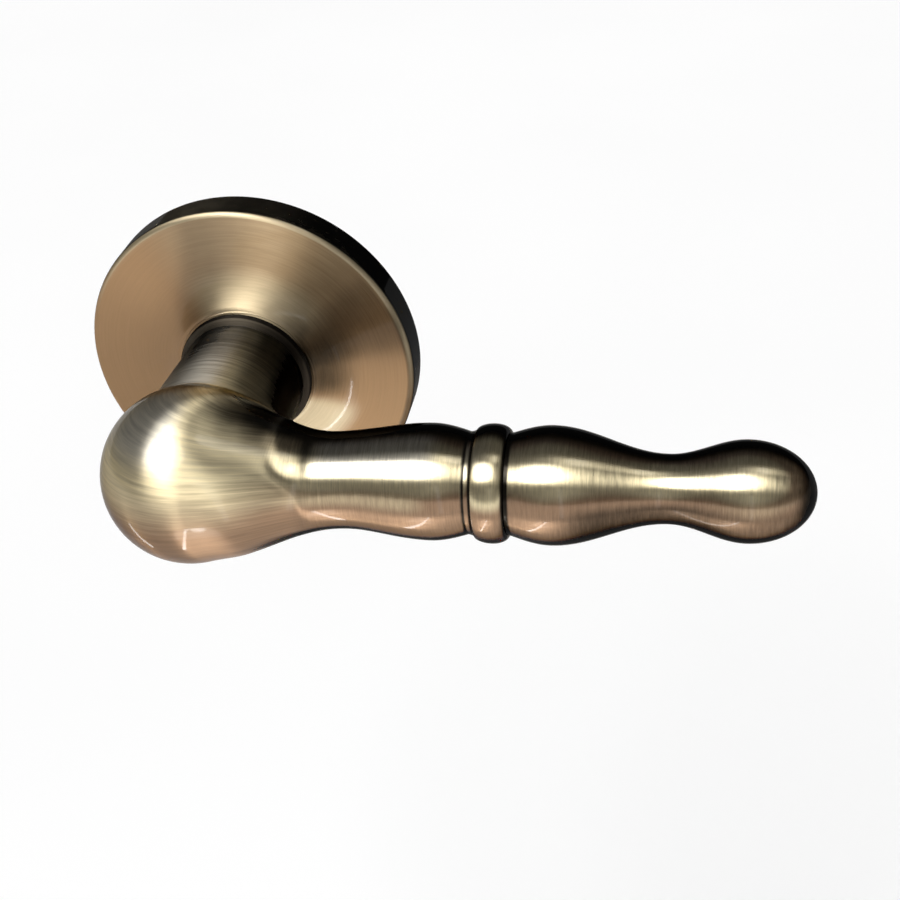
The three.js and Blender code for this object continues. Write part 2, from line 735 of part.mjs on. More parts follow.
// A slotted screw that holds the spring cover on the plate.
function caseScrew([x, z]) {
  const top = coverTop + CASE_HEAD_HEIGHT;
  const slot = box(2 * CASE_HEAD_RADIUS + 1, 2 * CASE_SLOT_DEPTH, RECESS_WIDTH, [0, -top, 0]);
  return placed(rod(CASE_HEAD_RADIUS, coverTop, top, SMALL_SIDES)
    .add(rod(CASE_SCREW_RADIUS, coverTop - CASE_SCREW_LENGTH, coverTop, SMALL_SIDES))
    .subtract(slot), x, z);
}

// ---- Assembly -----------------------------------------------------------------------------------------

const finish = (color, roughness, metalness) =>
  new THREE.MeshStandardMaterial({ color, roughness, metalness });

const antiqueBrass = finish(0xb5926a, 0.32, 1);
const darkBronze = finish(0x4f463c, 0.38, 1);
const zincPlate = finish(0xaeb2b4, 0.5, 1);
const steel = finish(0xa2a5a8, 0.35, 1);
const springSteel = finish(0x6f7275, 0.3, 1);
const blackOxide = finish(0x2b2b2d, 0.5, 1);
const yellowZinc = finish(0xc2a45c, 0.4, 1);
const nylon = finish(0xe8e4d8, 0.6, 0);

const handle = new THREE.Group();

function addPiece(name, solid, material) {
  const mesh = new THREE.Mesh(geometryOf(solid), material);
  mesh.name = name;
  handle.add(mesh);
}

addPiece('lever', lever(), antiqueBrass);
addPiece('spindle', spindle(), zincPlate);
addPiece('grub_screw', grubScrew(), blackOxide);
addPiece('collar_ring', collarRing(), darkBronze);
addPiece('rose_cover', roseCover(), antiqueBrass);
addPiece('mounting_plate', mountingPlate(), zincPlate);
addPiece('cover_snap_ring', snapRing(), springSteel);
addPiece('neck_bush', neckBush(), nylon);
addPiece('spring_driver', springDriver(), steel);
addPiece('return_spring_right', returnSpring(0), springSteel);
addPiece('return_spring_left', returnSpring(180), springSteel);
addPiece('spring_cover', springCover(), zincPlate);
addPiece('thrust_washer', thrustWasher(), steel);
addPiece('wave_washer', waveWasher(), springSteel);
addPiece('retaining_clip', retainingClip(), springSteel);
caseScrewPlaces().forEach((place, i) => addPiece(`case_screw_${i + 1}`, caseScrew(place), yellowZinc));
postPlaces().forEach((place, i) => addPiece(`bolt_post_${i + 1}`, boltPost(place), steel));
woodScrewPlaces().forEach((place, i) => addPiece(`wood_screw_${i + 1}`, woodScrew(place), yellowZinc));

export default handle;
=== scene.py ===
"""A door lever handle on a round rose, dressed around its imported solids.

The lever is one turned and brushed casting: a grip with a bead, a ball elbow, and a neck that goes
through the rose to a square spindle. Lengths are in millimetres here and in metres in the meshes.
The frame is the solids' own: the spindle's axis is Y, the door's face is y = 0, the user stands at
-Y, the grip points along +X and +Z is up. A depth is a distance out from the door towards the user.
"""

from __future__ import annotations

import logging
import math
import sys
from dataclasses import dataclass, field
from enum import Enum
from functools import cache

import bpy
import numpy as np
from mathutils import Matrix, Vector

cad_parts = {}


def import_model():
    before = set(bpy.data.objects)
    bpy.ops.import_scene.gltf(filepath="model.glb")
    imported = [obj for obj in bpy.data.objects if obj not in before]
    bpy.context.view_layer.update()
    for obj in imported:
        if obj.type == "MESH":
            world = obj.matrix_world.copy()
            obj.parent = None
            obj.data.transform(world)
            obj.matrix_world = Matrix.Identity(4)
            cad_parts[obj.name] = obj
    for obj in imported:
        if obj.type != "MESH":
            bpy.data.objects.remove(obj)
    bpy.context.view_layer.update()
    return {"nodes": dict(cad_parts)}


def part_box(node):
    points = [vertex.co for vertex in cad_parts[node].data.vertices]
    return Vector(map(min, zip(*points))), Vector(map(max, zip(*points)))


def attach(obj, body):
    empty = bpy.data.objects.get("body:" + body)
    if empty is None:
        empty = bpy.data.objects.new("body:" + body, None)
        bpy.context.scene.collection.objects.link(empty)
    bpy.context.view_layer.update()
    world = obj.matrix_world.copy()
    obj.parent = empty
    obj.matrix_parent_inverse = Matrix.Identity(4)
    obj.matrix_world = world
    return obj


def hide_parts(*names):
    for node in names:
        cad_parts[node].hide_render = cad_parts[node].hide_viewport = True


MM = 0.001
TURN = 2 * math.pi
BRUSH_DEPTH = 0.00002
Colour = tuple[float, float, float]
Triple = tuple[float, float, float]
Pair = tuple[float, float]
Socket = bpy.types.NodeSocket

log = logging.getLogger("lever handle")


def tipped(degrees: float) -> np.ndarray:
    """The direction towards the user, tipped up by this angle."""
    return np.array([0.0, -math.cos(math.radians(degrees)), math.sin(math.radians(degrees))])


# The lever's metal is bare most where its skin faces the first of these sides, with painted shade
# away from it, and carries its painted highlight most where it faces the second. The low hump at
# the grip's shoulder moves its centre line against the third.
PAINTED_LIT_SIDE = tipped(13)
PAINTED_HIGHLIGHT_SIDE = tipped(50)
HUMP = np.array([0.0, 0.55, 0.83])


# ---- Shapes as functions on a grid ---------------------------------------------------------------


def smooth_step(low: float, high: float, value: np.ndarray) -> np.ndarray:
    """Rises from 0 at low to 1 at high along 3t² - 2t³; low may lie above high."""
    t = np.clip((value - low) / (high - low), 0.0, 1.0)
    return t * t * (3 - 2 * t)


def faded(start: np.ndarray, end: np.ndarray, share: np.ndarray) -> np.ndarray:
    """Goes from start to end as the share goes from 0 to 1."""
    return start + (end - start) * share


def around(columns: int) -> np.ndarray:
    """Turns of this many points spaced evenly around an axis, in radians."""
    return np.arange(columns) * TURN / columns


def offset(outline: np.ndarray, skin: float) -> np.ndarray:
    """Moves each point of an open outline sideways by the skin.

    The direction at a point is the outline's slope there, turned a quarter turn to the left.

    Args:
        outline: points as [radius, depth] rows.
        skin: how far to move them.

    Returns:
        The moved points, in the same order.
    """
    slope = np.gradient(outline, axis=0)
    slope /= np.linalg.norm(slope, axis=1, keepdims=True)
    return outline + skin * np.stack([-slope[:, 1], slope[:, 0]], axis=1)


def arc(centre: Pair, radii: Pair, start: float, end: float, steps: int) -> np.ndarray:
    """Points of an ellipse's arc: centre + (a cos t, b sin t), t in degrees from start to end."""
    t = np.radians(np.linspace(start, end, steps + 1))
    return np.stack([centre[0] + radii[0] * np.cos(t), centre[1] + radii[1] * np.sin(t)], axis=1)


def even(start: Pair, end: Pair, steps: int) -> np.ndarray:
    """Points spaced evenly along the straight line from start to end."""
    return np.linspace(start, end, steps + 1)


@dataclass
class Lattice:
    """A closed skin on a grid, with its rows laid along a piece and its columns around it.

    Attributes:
        points: the grid's points in millimetres, rows by columns by 3.
        ring: the last row joins the first one. Otherwise each end closes on a pole, which is the
            mean of its row.
    """

    points: np.ndarray
    ring: bool = False

    def along(self) -> np.ndarray:
        """Measures the skin along its first column.

        Returns:
            The length run up to each row, and once round for a ring.
        """
        column = self.points[:, 0]
        if self.ring:
            column = np.vstack([column, column[:1]])
        steps = np.linalg.norm(np.diff(column, axis=0), axis=1)
        return np.concatenate([[0.0], np.cumsum(steps)])

    def quads(self) -> tuple[np.ndarray, np.ndarray]:
        """Spans the grid with four-sided faces.

        Returns:
            The corner numbers of each face, and the length along and the turn around the piece
            at each corner.
        """
        rows, columns = self.points.shape[:2]
        i = np.arange(rows if self.ring else rows - 1)[:, None]
        j = np.arange(columns)[None, :]
        below, beside = (i + 1) % rows * columns, (j + 1) % columns
        corners = [i * columns + j, below + j, below + beside, i * columns + beside]
        run = self.along()
        near, far = run[i], run[i + 1]
        left, right = j / columns, (j + 1) / columns
        lay = [np.stack(np.broadcast_arrays(u, v), axis=-1)
               for u, v in ((near, left), (far, left), (far, right), (near, right))]
        return (np.stack(np.broadcast_arrays(*corners), axis=-1).reshape(-1, 4),
                np.stack(lay, axis=2).reshape(-1, 4, 2))

    def caps(self) -> tuple[np.ndarray, np.ndarray, np.ndarray]:
        """Closes the ends of a skin that isn't a ring.

        Returns:
            The two poles, the corner numbers of the triangles that close on them, and the length
            and the turn at each corner.
        """
        rows, columns = self.points.shape[:2]
        if self.ring:
            return np.empty((0, 3)), np.empty((0, 3), int), np.empty((0, 3, 2))
        poles = np.stack([self.points[0].mean(axis=0), self.points[-1].mean(axis=0)])
        j = np.arange(columns)
        beside = (j + 1) % columns
        first = rows * columns
        start = np.stack([np.full(columns, first), j, beside], axis=1)
        last_row = (rows - 1) * columns
        end = np.stack([np.full(columns, first + 1), last_row + beside, last_row + j], axis=1)
        run = self.along()
        turn = np.stack([(j + 0.5) / columns, j / columns, (j + 1) / columns], axis=1)
        lengths = np.repeat([run[0], run[-1]], columns)
        turns = np.vstack([turn, turn[:, [0, 2, 1]]])
        lay = np.stack(np.broadcast_arrays(lengths[:, None], turns), axis=-1)
        return poles, np.vstack([start, end]), lay

    def grain(self) -> np.ndarray:
        """Places each point on the piece, for the brush lines.

        Returns:
            Cosine and sine of the turn around the piece, and millimetres along it.
        """
        rows, columns = self.points.shape[:2]
        turn, run = around(columns), self.along()[:rows]
        grid = np.broadcast_arrays(np.cos(turn)[None], np.sin(turn)[None], run[:, None])
        grain = np.stack(grid, axis=-1).reshape(-1, 3)
        ends = [] if self.ring else [[0.0, 0.0, run[0]], [0.0, 0.0, run[-1]]]
        return np.vstack([grain, ends]) if ends else grain


def signed_volume(points: np.ndarray, triangles: np.ndarray) -> float:
    """Six times a closed mesh's volume: the sum of a · (b × c), above 0 where faces point out."""
    a, b, c = points[triangles[:, 0]], points[triangles[:, 1]], points[triangles[:, 2]]
    return float(np.einsum("ij,ij->", a, np.cross(b, c)))


def placed(name: str, data: bpy.types.ID) -> bpy.types.Object:
    """Puts a mesh, a lamp or a camera into the scene.

    Args:
        name: the object's name.
        data: what it shows.

    Returns:
        The object, at the origin.
    """
    made = bpy.data.objects.new(name, data)
    bpy.context.scene.collection.objects.link(made)
    return made


def skin_mesh(name: str, skin: Lattice, crease: float) -> bpy.types.Object:
    """Makes an object from a closed skin, with faces outwards.

    Args:
        name: the object's name.
        skin: its skin.
        crease: angle in degrees above which an edge looks sharp.

    Returns:
        The object, at the origin, with the UV map "lay" and the attribute "grain".
    """
    poles, triangles, cap_lay = skin.caps()
    quads, lay = skin.quads()
    points = np.vstack([skin.points.reshape(-1, 3), poles])
    halves = np.vstack([quads[:, [0, 1, 2]], quads[:, [0, 2, 3]], triangles])
    if signed_volume(points, halves) < 0:
        quads, lay = quads[:, ::-1], lay[:, ::-1]
        triangles, cap_lay = triangles[:, ::-1], cap_lay[:, ::-1]
    mesh = bpy.data.meshes.new(name)
    mesh.from_pydata(points * MM, [], quads.tolist() + triangles.tolist())
    mesh.shade_smooth()
    mesh.set_sharp_from_angle(angle=math.radians(crease))
    corners = np.vstack([lay.reshape(-1, 2), cap_lay.reshape(-1, 2)])
    uv = mesh.uv_layers.new(name="lay")
    uv.data.foreach_set("uv", corners.astype(np.float32).ravel())
    grain = mesh.attributes.new("grain", "FLOAT_VECTOR", "POINT")
    grain.data.foreach_set("vector", skin.grain().astype(np.float32).ravel())
    mesh.update()
    return placed(name, mesh)


def mark(piece: bpy.types.Object, name: str, values: np.ndarray) -> None:
    """Stores one number for each point of a piece under a name that its finish reads."""
    attribute = piece.data.attributes.new(name, "FLOAT", "POINT")
    attribute.data.foreach_set("value", np.asarray(values, dtype=np.float32).ravel())


def at_points(piece: bpy.types.Object, what: str) -> np.ndarray:
    """Reads a vector at each point of a piece.

    Args:
        piece: the piece.
        what: Blender's name for the vector.

    Returns:
        The vectors, one row for each point.
    """
    values = np.empty(3 * len(piece.data.vertices), dtype=np.float32)
    piece.data.vertices.foreach_get(what, values)
    return values.reshape(-1, 3).astype(float)


def positions(piece: bpy.types.Object) -> np.ndarray:
    """Points of a piece in millimetres."""
    return at_points(piece, "co") / MM


def normals(piece: bpy.types.Object) -> np.ndarray:
    """Directions in which the skin of a piece faces at its points."""
    return at_points(piece, "normal")


def steps_to(end: float, steps: int) -> np.ndarray:
    """Numbers spaced evenly from 0 to the end, without the 0."""
    return np.linspace(0, end, steps + 1)[1:]


def towards(at: np.ndarray, turn: float) -> np.ndarray:
    """Cosine of the angle between each point's side of the axis and this turn in degrees."""
    x, z = at[:, 0], at[:, 2]
    return (x * math.cos(math.radians(turn)) + z * math.sin(math.radians(turn))) / np.hypot(x, z)


def lathe_rows(radius: np.ndarray, depth: np.ndarray, at: Pair = (0.0, 0.0)) -> np.ndarray:
    """Lays rows of points about an axis along Y.

    A point at radius r, depth d and turn t is (x + r cos t, -d, z + r sin t).

    Args:
        radius: radii, rows by columns, which may change around the axis.
        depth: depth of each row.
        at: x and z of the axis.

    Returns:
        The points, rows by columns by 3.
    """
    turn = around(radius.shape[1])
    x = at[0] + radius * np.cos(turn)
    z = at[1] + radius * np.sin(turn)
    return np.stack([x, np.broadcast_to(-depth[:, None], x.shape), z], axis=-1)


def revolved(section: np.ndarray, columns: int) -> Lattice:
    """The ring that a closed section of [radius, depth] points makes around the spindle's axis."""
    return Lattice(lathe_rows(section[:, :1] * np.ones(columns), section[:, 1]), ring=True)


# ---- Finishes ------------------------------------------------------------------------------------


class Graph:
    """The nodes of one material, added one at a time."""

    def __init__(self, name: str) -> None:
        """Starts a material with a surface shader and nothing else.

        Args:
            name: the material's name.
        """
        self.material = bpy.data.materials.new(name)
        self.material.use_nodes = True
        self.tree = self.material.node_tree
        self.tree.nodes.clear()
        self.surface = self.tree.nodes.new("ShaderNodeBsdfPrincipled")
        output = self.tree.nodes.new("ShaderNodeOutputMaterial")
        self.tree.links.new(self.surface.outputs[0], output.inputs["Surface"])

    def put(self, socket: Socket, value: object) -> None:
        """Feeds a socket.

        Args:
            socket: the input.
            value: another node's output to link, or a plain value to set.
        """
        if isinstance(value, Socket):
            self.tree.links.new(value, socket)
        elif isinstance(value, tuple) and len(value) == 3 and socket.type == "RGBA":
            socket.default_value = (*value, 1.0)
        else:
            socket.default_value = value

    def node(self, kind: str, output: int | str, inputs: dict[int | str, object],
             **settings: object) -> Socket:
        """Adds one node.

        Args:
            kind: its type, without the prefix ShaderNode.
            output: number or name of the output that is wanted.
            inputs: what feeds its inputs, by their number or name.
            settings: its other properties.

        Returns:
            The output.
        """
        node = self.tree.nodes.new(f"ShaderNode{kind}")
        for name, value in settings.items():
            setattr(node, name, value)
        for key, value in inputs.items():
            self.put(node.inputs[key], value)
        return node.outputs[output]

    def place(self) -> Socket:
        """Where a point lies on the piece, in metres."""
        return self.node("TexCoord", "Object", {})

    def stored(self, name: str, output: str = "Fac") -> Socket:
        """A number, or the output "Vector", that the mesh stores under this name."""
        return self.node("Attribute", output, {}, attribute_name=name)

    def calc(self, operation: str, a: object, b: object) -> Socket:
        """One step of arithmetic on two numbers."""
        return self.node("Math", 0, {0: a, 1: b}, operation=operation)

    def vector(self, operation: str, a: object, b: object) -> Socket:
        """One step of arithmetic on two vectors."""
        return self.node("VectorMath", 0, {0: a, 1: b}, operation=operation)

    def noise(self, place: object, scale: float, detail: float, roughness: float = 0.5) -> Socket:
        """Cloudy values around one half, with this many cells for each unit of the place."""
        return self.node("TexNoise", "Fac", {"Vector": place, "Scale": scale, "Detail": detail,
                                             "Roughness": roughness})

    def between(self, value: object, low: float, high: float, bottom: float = 0.0,
                top: float = 1.0) -> Socket:
        """Maps low to bottom and high to top along a smooth step."""
        ends = {"From Min": low, "From Max": high, "To Min": bottom, "To Max": top}
        return self.node("MapRange", "Result", {"Value": value, **ends},
                         interpolation_type="SMOOTHSTEP")

    def mix(self, share: object, a: object, b: object) -> Socket:
        """A blend of two numbers: a where the share is 0 and b where it is 1."""
        return self.node("Mix", 0, {0: share, 2: a, 3: b})

    def veer(self, share: object, a: object, b: object) -> Socket:
        """A blend of two directions: a where the share is 0 and b where it is 1."""
        return self.node("Mix", 1, {0: share, 4: a, 5: b}, data_type="VECTOR")

    def blend(self, share: object, a: object, b: object) -> Socket:
        """A blend of two colours: a where the share is 0 and b where it is 1."""
        return self.node("Mix", 2, {0: share, 6: a, 7: b}, data_type="RGBA")

    def scaled(self, vector: object, factor: object) -> Socket:
        """A colour or a direction multiplied by a number."""
        return self.node("VectorMath", 0, {0: vector, "Scale": factor}, operation="SCALE")

    def bump(self, height: object, distance: float, strength: float) -> Socket:
        """The surface's direction with fine relief of this height in metres."""
        return self.node("Bump", "Normal", {"Height": height, "Distance": distance,
                                            "Strength": strength})

    def dress(self, **values: object) -> bpy.types.Material:
        """Sets the surface shader.

        Args:
            values: what feeds its sockets, their names written with _ for a space.

        Returns:
            The finished material.
        """
        for name, value in values.items():
            self.put(self.surface.inputs[name.replace("_", " ")], value)
        return self.material


class Brushing(Enum):
    """How the brush lines run over a lacquered piece."""

    RINGS = "rings around the piece's own outline"
    ELBOW = "rings on the grip and the neck, and lines along the ball"


@dataclass(frozen=True)
class LacqueredBrass:
    """Antique brass, brushed and lacquered clear, with patina and painted shade off the bare metal
    and a painted highlight on it.

    Attributes:
        name: the material's name.
        bright: colour of the metal in its painted highlight.
        toned: its colour outside the painted highlight, between copper and brown.
        dark: colour of the patina and of the painted shade, where the metal isn't bare.
        roughness: how matt the metal is across its brush lines.
        line: brush lines for each millimetre along the piece.
        brushing: how they run.
        coarse: roughness added where the mesh says so.
        contrast: how far the lines go above and below the metal's colour.
        anisotropy: how far the gloss is drawn out across the lines.
        lacquer: weight of the clear coat.
        edge: tint of the metal's gloss at grazing angles.
        slant: degrees by which the wheel was held askew.
        pale: the metal's colour in its painted pale sheen, where the mesh marks one.
    """

    name: str
    bright: Colour
    toned: Colour
    dark: Colour
    roughness: float
    line: float
    brushing: Brushing
    coarse: float = 0.0
    contrast: float = 0.1
    anisotropy: float = 0.9
    lacquer: float = 0.4
    edge: Colour = (0.16, 0.14, 0.11)
    slant: float = 0.0
    pale: Colour = (0.68, 0.67, 0.64)

    def lines(self, graph: Graph) -> Socket:
        """Draws noise out along the brush lines.

        Args:
            graph: the material's nodes.

        Returns:
            Values around one half, laid by the piece's grain, and by place on the neck.
        """
        def drawn(place: Socket, scale: Triple, detail: float, roughness: float) -> Socket:
            """Noise that changes by these scales along the three axes of a place."""
            return graph.noise(graph.vector("MULTIPLY", place, scale), 1.0, detail, roughness)

        grain = graph.stored("grain", "Vector")
        rings = drawn(grain, (2.2, 2.2, self.line), 4.0, 0.7)
        if self.brushing is Brushing.RINGS:
            return rings
        lengthwise = drawn(grain, (24.0, 24.0, 0.07), 3.0, 0.65)
        around_neck = drawn(graph.place(), (60.0, 2600.0, 60.0), 3.0, 0.65)
        body = graph.mix(graph.stored("lengthwise"), rings, lengthwise)
        return graph.mix(graph.stored("neck"), body, around_neck)

    def tangent(self, graph: Graph) -> Socket:
        """Lays the direction across the brush lines, in which the gloss spreads.

        On rings it is the outline's own direction, turned about the surface's by the slant. On
        the lever it goes over to the crossways direction on the ball, turned by that slant, and
        to the axis of the neck there.

        Args:
            graph: the material's nodes.

        Returns:
            The direction, for the shader's tangent.
        """
        along = graph.node("Tangent", 0, {}, direction_type="UV_MAP", uv_map="lay")
        normal = graph.node("NewGeometry", "Normal", {})
        across = graph.vector("CROSS_PRODUCT", normal, along)
        straight, aside = math.cos(math.radians(self.slant)), math.sin(math.radians(self.slant))
        if self.brushing is Brushing.RINGS:
            return graph.vector("ADD", graph.scaled(along, straight), graph.scaled(across, aside))
        on_ball = graph.vector("ADD", graph.scaled(across, straight), graph.scaled(along, -aside))
        body = graph.veer(graph.stored("lengthwise"), along, on_ball)
        return graph.veer(graph.stored("neck"), body, (0.0, 1.0, 0.0))

    def material(self) -> bpy.types.Material:
        """Builds the finish's nodes.

        The patina and painted shade give way to metal where the mesh's bare-metal mark, roughened a
        little by clouds and by the brush lines, is high. The metal takes its painted highlight and
        its painted pale sheen where their marks are, and the clear coat thins over the painted
        shade.

        Returns:
            The material.
        """
        graph = Graph(self.name)
        lines = self.lines(graph)
        cloud = graph.noise(graph.place(), 70.0, 3.0, 0.6)
        fine = graph.noise(graph.place(), 420.0, 3.0, 0.6)
        centred = graph.calc("SUBTRACT", graph.calc("ADD", cloud, lines), 1.0)
        drift = graph.calc("MULTIPLY", centred, 0.2)
        # painted shade: the patina's colour wherever the bare-metal mark is low
        relief_and_painted_shade = graph.between(graph.calc("ADD", graph.stored("relief_and_painted_shade"), drift), 0.0, 1.0)
        # painted highlight: the brighter metal wherever its mark is high
        polish_and_painted_highlight = graph.between(graph.calc("ADD", graph.stored("polish_and_painted_highlight"), drift), 0.0, 1.0)
        metal = graph.blend(polish_and_painted_highlight, self.toned, self.bright)
        # painted pale sheen wherever the mesh marks one
        metal = graph.blend(graph.stored("pale"), metal, self.pale)
        metal = graph.scaled(metal, graph.between(lines, 0.25, 0.75, 1 - self.contrast,
                                                  1 + self.contrast))
        patina = graph.scaled(self.dark, graph.between(fine, 0.3, 0.7, 0.7, 1.3))
        rough = graph.between(lines, 0.2, 0.8, self.roughness - 0.05, self.roughness + 0.05)
        if self.coarse:
            more = graph.calc("MULTIPLY", graph.stored("coarse"), self.coarse)
            rough = graph.calc("ADD", rough, more)
        return graph.dress(
            Base_Color=graph.blend(relief_and_painted_shade, patina, metal), Metallic=1.0, Roughness=rough,
            Anisotropic=self.anisotropy, Tangent=self.tangent(graph),
            Normal=graph.bump(lines, BRUSH_DEPTH, 0.2), Specular_Tint=self.edge,
            # the coat thins over the painted shade, which keeps it dark
            Coat_Weight=graph.between(relief_and_painted_shade, 0.0, 1.0, 0.2 * self.lacquer, self.lacquer),
            Coat_Roughness=0.06, Coat_IOR=1.5,
        )


@dataclass(frozen=True)
class PlainMetal:
    """Bare or plated metal: two tones in clouds, with drawn or rolled lines along one direction.

    Attributes:
        name: the material's name.
        light: the lighter tone.
        deep: the deeper tone.
        roughness: how matt it is.
        stretch: how fast the lines change along X, Y and Z, in cells for each metre.
        metallic: 1 for metal and 0 for plastic.
    """

    name: str
    light: Colour
    deep: Colour
    roughness: float
    stretch: Triple = (900.0, 900.0, 900.0)
    metallic: float = 1.0

    @cache
    def material(self) -> bpy.types.Material:
        """Builds the finish's nodes, once for all the pieces that share it.

        Returns:
            The material.
        """
        graph = Graph(self.name)
        cloud = graph.noise(graph.place(), 260.0, 5.0, 0.65)
        lines = graph.noise(graph.vector("MULTIPLY", graph.place(), self.stretch), 1.0, 2.0, 0.6)
        colour = graph.blend(graph.between(cloud, 0.35, 0.65), self.light, self.deep)
        colour = graph.scaled(colour, graph.between(lines, 0.2, 0.8, 0.88, 1.1))
        rough = graph.between(graph.calc("ADD", cloud, lines), 0.6, 1.4, self.roughness - 0.06,
                              self.roughness + 0.1)
        return graph.dress(
            Base_Color=colour, Metallic=self.metallic, Roughness=rough,
            Normal=graph.bump(lines, BRUSH_DEPTH, 0.3),
        )


# Each finish gives the colour of its painted highlight, of its metal elsewhere (between copper and
# brown), and of its patina and painted shade; the lever's also has a painted pale sheen.
COPPER_BRASS = LacqueredBrass(
    "antique brass of the lever", (0.79, 0.68, 0.43), (0.28, 0.175, 0.105), (0.020, 0.017, 0.013),
    0.32, 3.4, Brushing.ELBOW, coarse=0.08, contrast=0.16, slant=13.0,
)
ROSE_BRASS = LacqueredBrass(
    "antique brass of the rose", (0.62, 0.51, 0.33), (0.37, 0.225, 0.112), (0.020, 0.017, 0.012),
    0.49, 3.0, Brushing.RINGS, contrast=0.08, slant=14.0,
)
COLLAR_BRONZE = LacqueredBrass(
    "dark bronze of the collar", (0.20, 0.17, 0.125), (0.06, 0.048, 0.036), (0.018, 0.015, 0.012),
    0.6, 3.0, Brushing.RINGS, lacquer=0.0,
)
CAST_ZINC = PlainMetal("cast zinc", (0.56, 0.57, 0.58), (0.49, 0.50, 0.52), 0.46)
ZINC_PLATE = PlainMetal("zinc plate", (0.62, 0.64, 0.66), (0.50, 0.52, 0.56), 0.34,
                        (1500.0, 60.0, 1500.0))
STEEL = PlainMetal("turned steel", (0.56, 0.56, 0.57), (0.44, 0.44, 0.46), 0.30,
                   (200.0, 1800.0, 200.0))
SPRING_STEEL = PlainMetal("spring steel", (0.36, 0.36, 0.38), (0.26, 0.26, 0.28), 0.30)
BLACK_OXIDE = PlainMetal("black oxide", (0.045, 0.045, 0.048), (0.030, 0.030, 0.034), 0.42)
YELLOW_ZINC = PlainMetal("yellow zinc", (0.62, 0.50, 0.24), (0.50, 0.45, 0.30), 0.34,
                         (200.0, 1600.0, 200.0))
NYLON = PlainMetal("natural nylon", (0.80, 0.77, 0.69), (0.74, 0.71, 0.63), 0.55, metallic=0.0)


# ---- Lever ---------------------------------------------------------------------------------------


@dataclass
class Grip:
    """The turned bar, from the ball's centre to its tip.

    Attributes give each feature's length and radius, laid end to end from the ball's centre.
    """

    ball: float = 15.7
    ball_length: float = 4.0
    shoulder_length: float = 23.0
    shoulder_start: float = 12.0
    shoulder_end: float = 8.0
    waist: float = 8.4
    swell_length: float = 16.0
    swell: float = 9.98
    swell_end: float = 6.5
    groove: float = 8.7
    cove_length: float = 1.2
    cove: float = 9.05
    bead_length: float = 5.6
    bead: float = 10.12
    land: float = 0.5
    bulb_rise: float = 6.6
    bulb: float = 10.05
    bulb_fall: float = 19.2
    slim: float = 5.8
    knob_rise: float = 12.6
    knob: float = 8.5
    knob_end: float = 11.0
    fullness: float = 0.55

    def shoulder(self) -> np.ndarray:
        """Draws the cubic curve that leaves the ball along its slope and ends level at the waist.

        Returns:
            [place, radius] along the bar.
        """
        radius = math.sqrt(self.ball ** 2 - self.ball_length ** 2)
        slope = -self.ball_length / radius
        end = self.ball_length + self.shoulder_length
        a = np.array([self.ball_length, radius])
        b = a + self.shoulder_start * np.array([1.0, slope])
        d = np.array([end, self.waist])
        c = d - np.array([self.shoulder_end, 0.0])
        t = np.linspace(0, 1, 61)[:, None]
        return (1 - t) ** 3 * a + 3 * t * (1 - t) ** 2 * b + 3 * t ** 2 * (1 - t) * c + t ** 3 * d

    def profile(self) -> np.ndarray:
        """Draws the bar from the end of the ball's curve to the tip.

        Swells and waists follow half a cosine, the sides of a groove a quarter of a sine, the bead
        half an ellipse on a small cove, and the knob's end a quarter of one.

        Returns:
            [place, radius] along the bar, close together at the edges of the grooves.
        """
        points = [self.shoulder()]

        def feature(length: float, share: np.ndarray, radius: float) -> None:
            """Adds a feature whose radius goes from the last one to its own.

            Args:
                length: its length.
                share: how far the radius has come at each of its points.
                radius: its own radius, at its end.
            """
            start, from_radius = points[-1][-1]
            place = start + length * steps_to(1, len(share))
            points.append(np.stack([place, faded(from_radius, radius, share)], axis=1))

        def cosine(steps: int) -> np.ndarray:
            """Shares of half a cosine."""
            return (1 - np.cos(steps_to(math.pi, steps))) / 2

        quarter = math.pi / 2
        feature(self.swell_length, cosine(32), self.swell)
        feature(self.swell_end, 1 - np.cos(steps_to(quarter, 14)), self.groove)
        feature(self.cove_length, steps_to(1, 8) ** 1.6, self.cove)
        start = points[-1][-1][0]
        t = np.linspace(math.pi, 0, 29)[1:]
        along = (1 + np.cos(t)) / 2
        foot = faded(self.cove, self.groove, along)
        radius = faded(foot, self.bead, np.sin(t))
        points.append(np.stack([start + self.bead_length * along, radius], axis=1))
        feature(self.land, np.ones(2), self.groove)
        feature(self.bulb_rise, np.sin(steps_to(quarter, 16)), self.bulb)
        feature(self.bulb_fall, cosine(38), self.slim)
        feature(self.knob_rise, cosine(26), self.knob)
        start, radius = points[-1][-1]
        t = np.radians(np.concatenate([np.arange(3, 88, 3), [88.5]]))
        points.append(np.stack([start + self.knob_end * np.sin(t), radius * np.cos(t)], axis=1))
        return np.vstack(points)

    def grooves(self) -> np.ndarray:
        """Finds the fine dark lines beside the bead and its cove.

        Returns:
            Their places along the bar.
        """
        first = self.ball_length + self.shoulder_length + self.swell_length + self.swell_end
        second = first + self.cove_length
        third = second + self.bead_length
        return np.array([first, second, third, third + self.land / 2, third + self.land])

    def lean(self, x: np.ndarray) -> np.ndarray:
        """How far the hump moves the section's centre: up, then down again past the shoulder."""
        return self.fullness * smooth_step(4, 11, x) * (1 - smooth_step(20, 32, x))


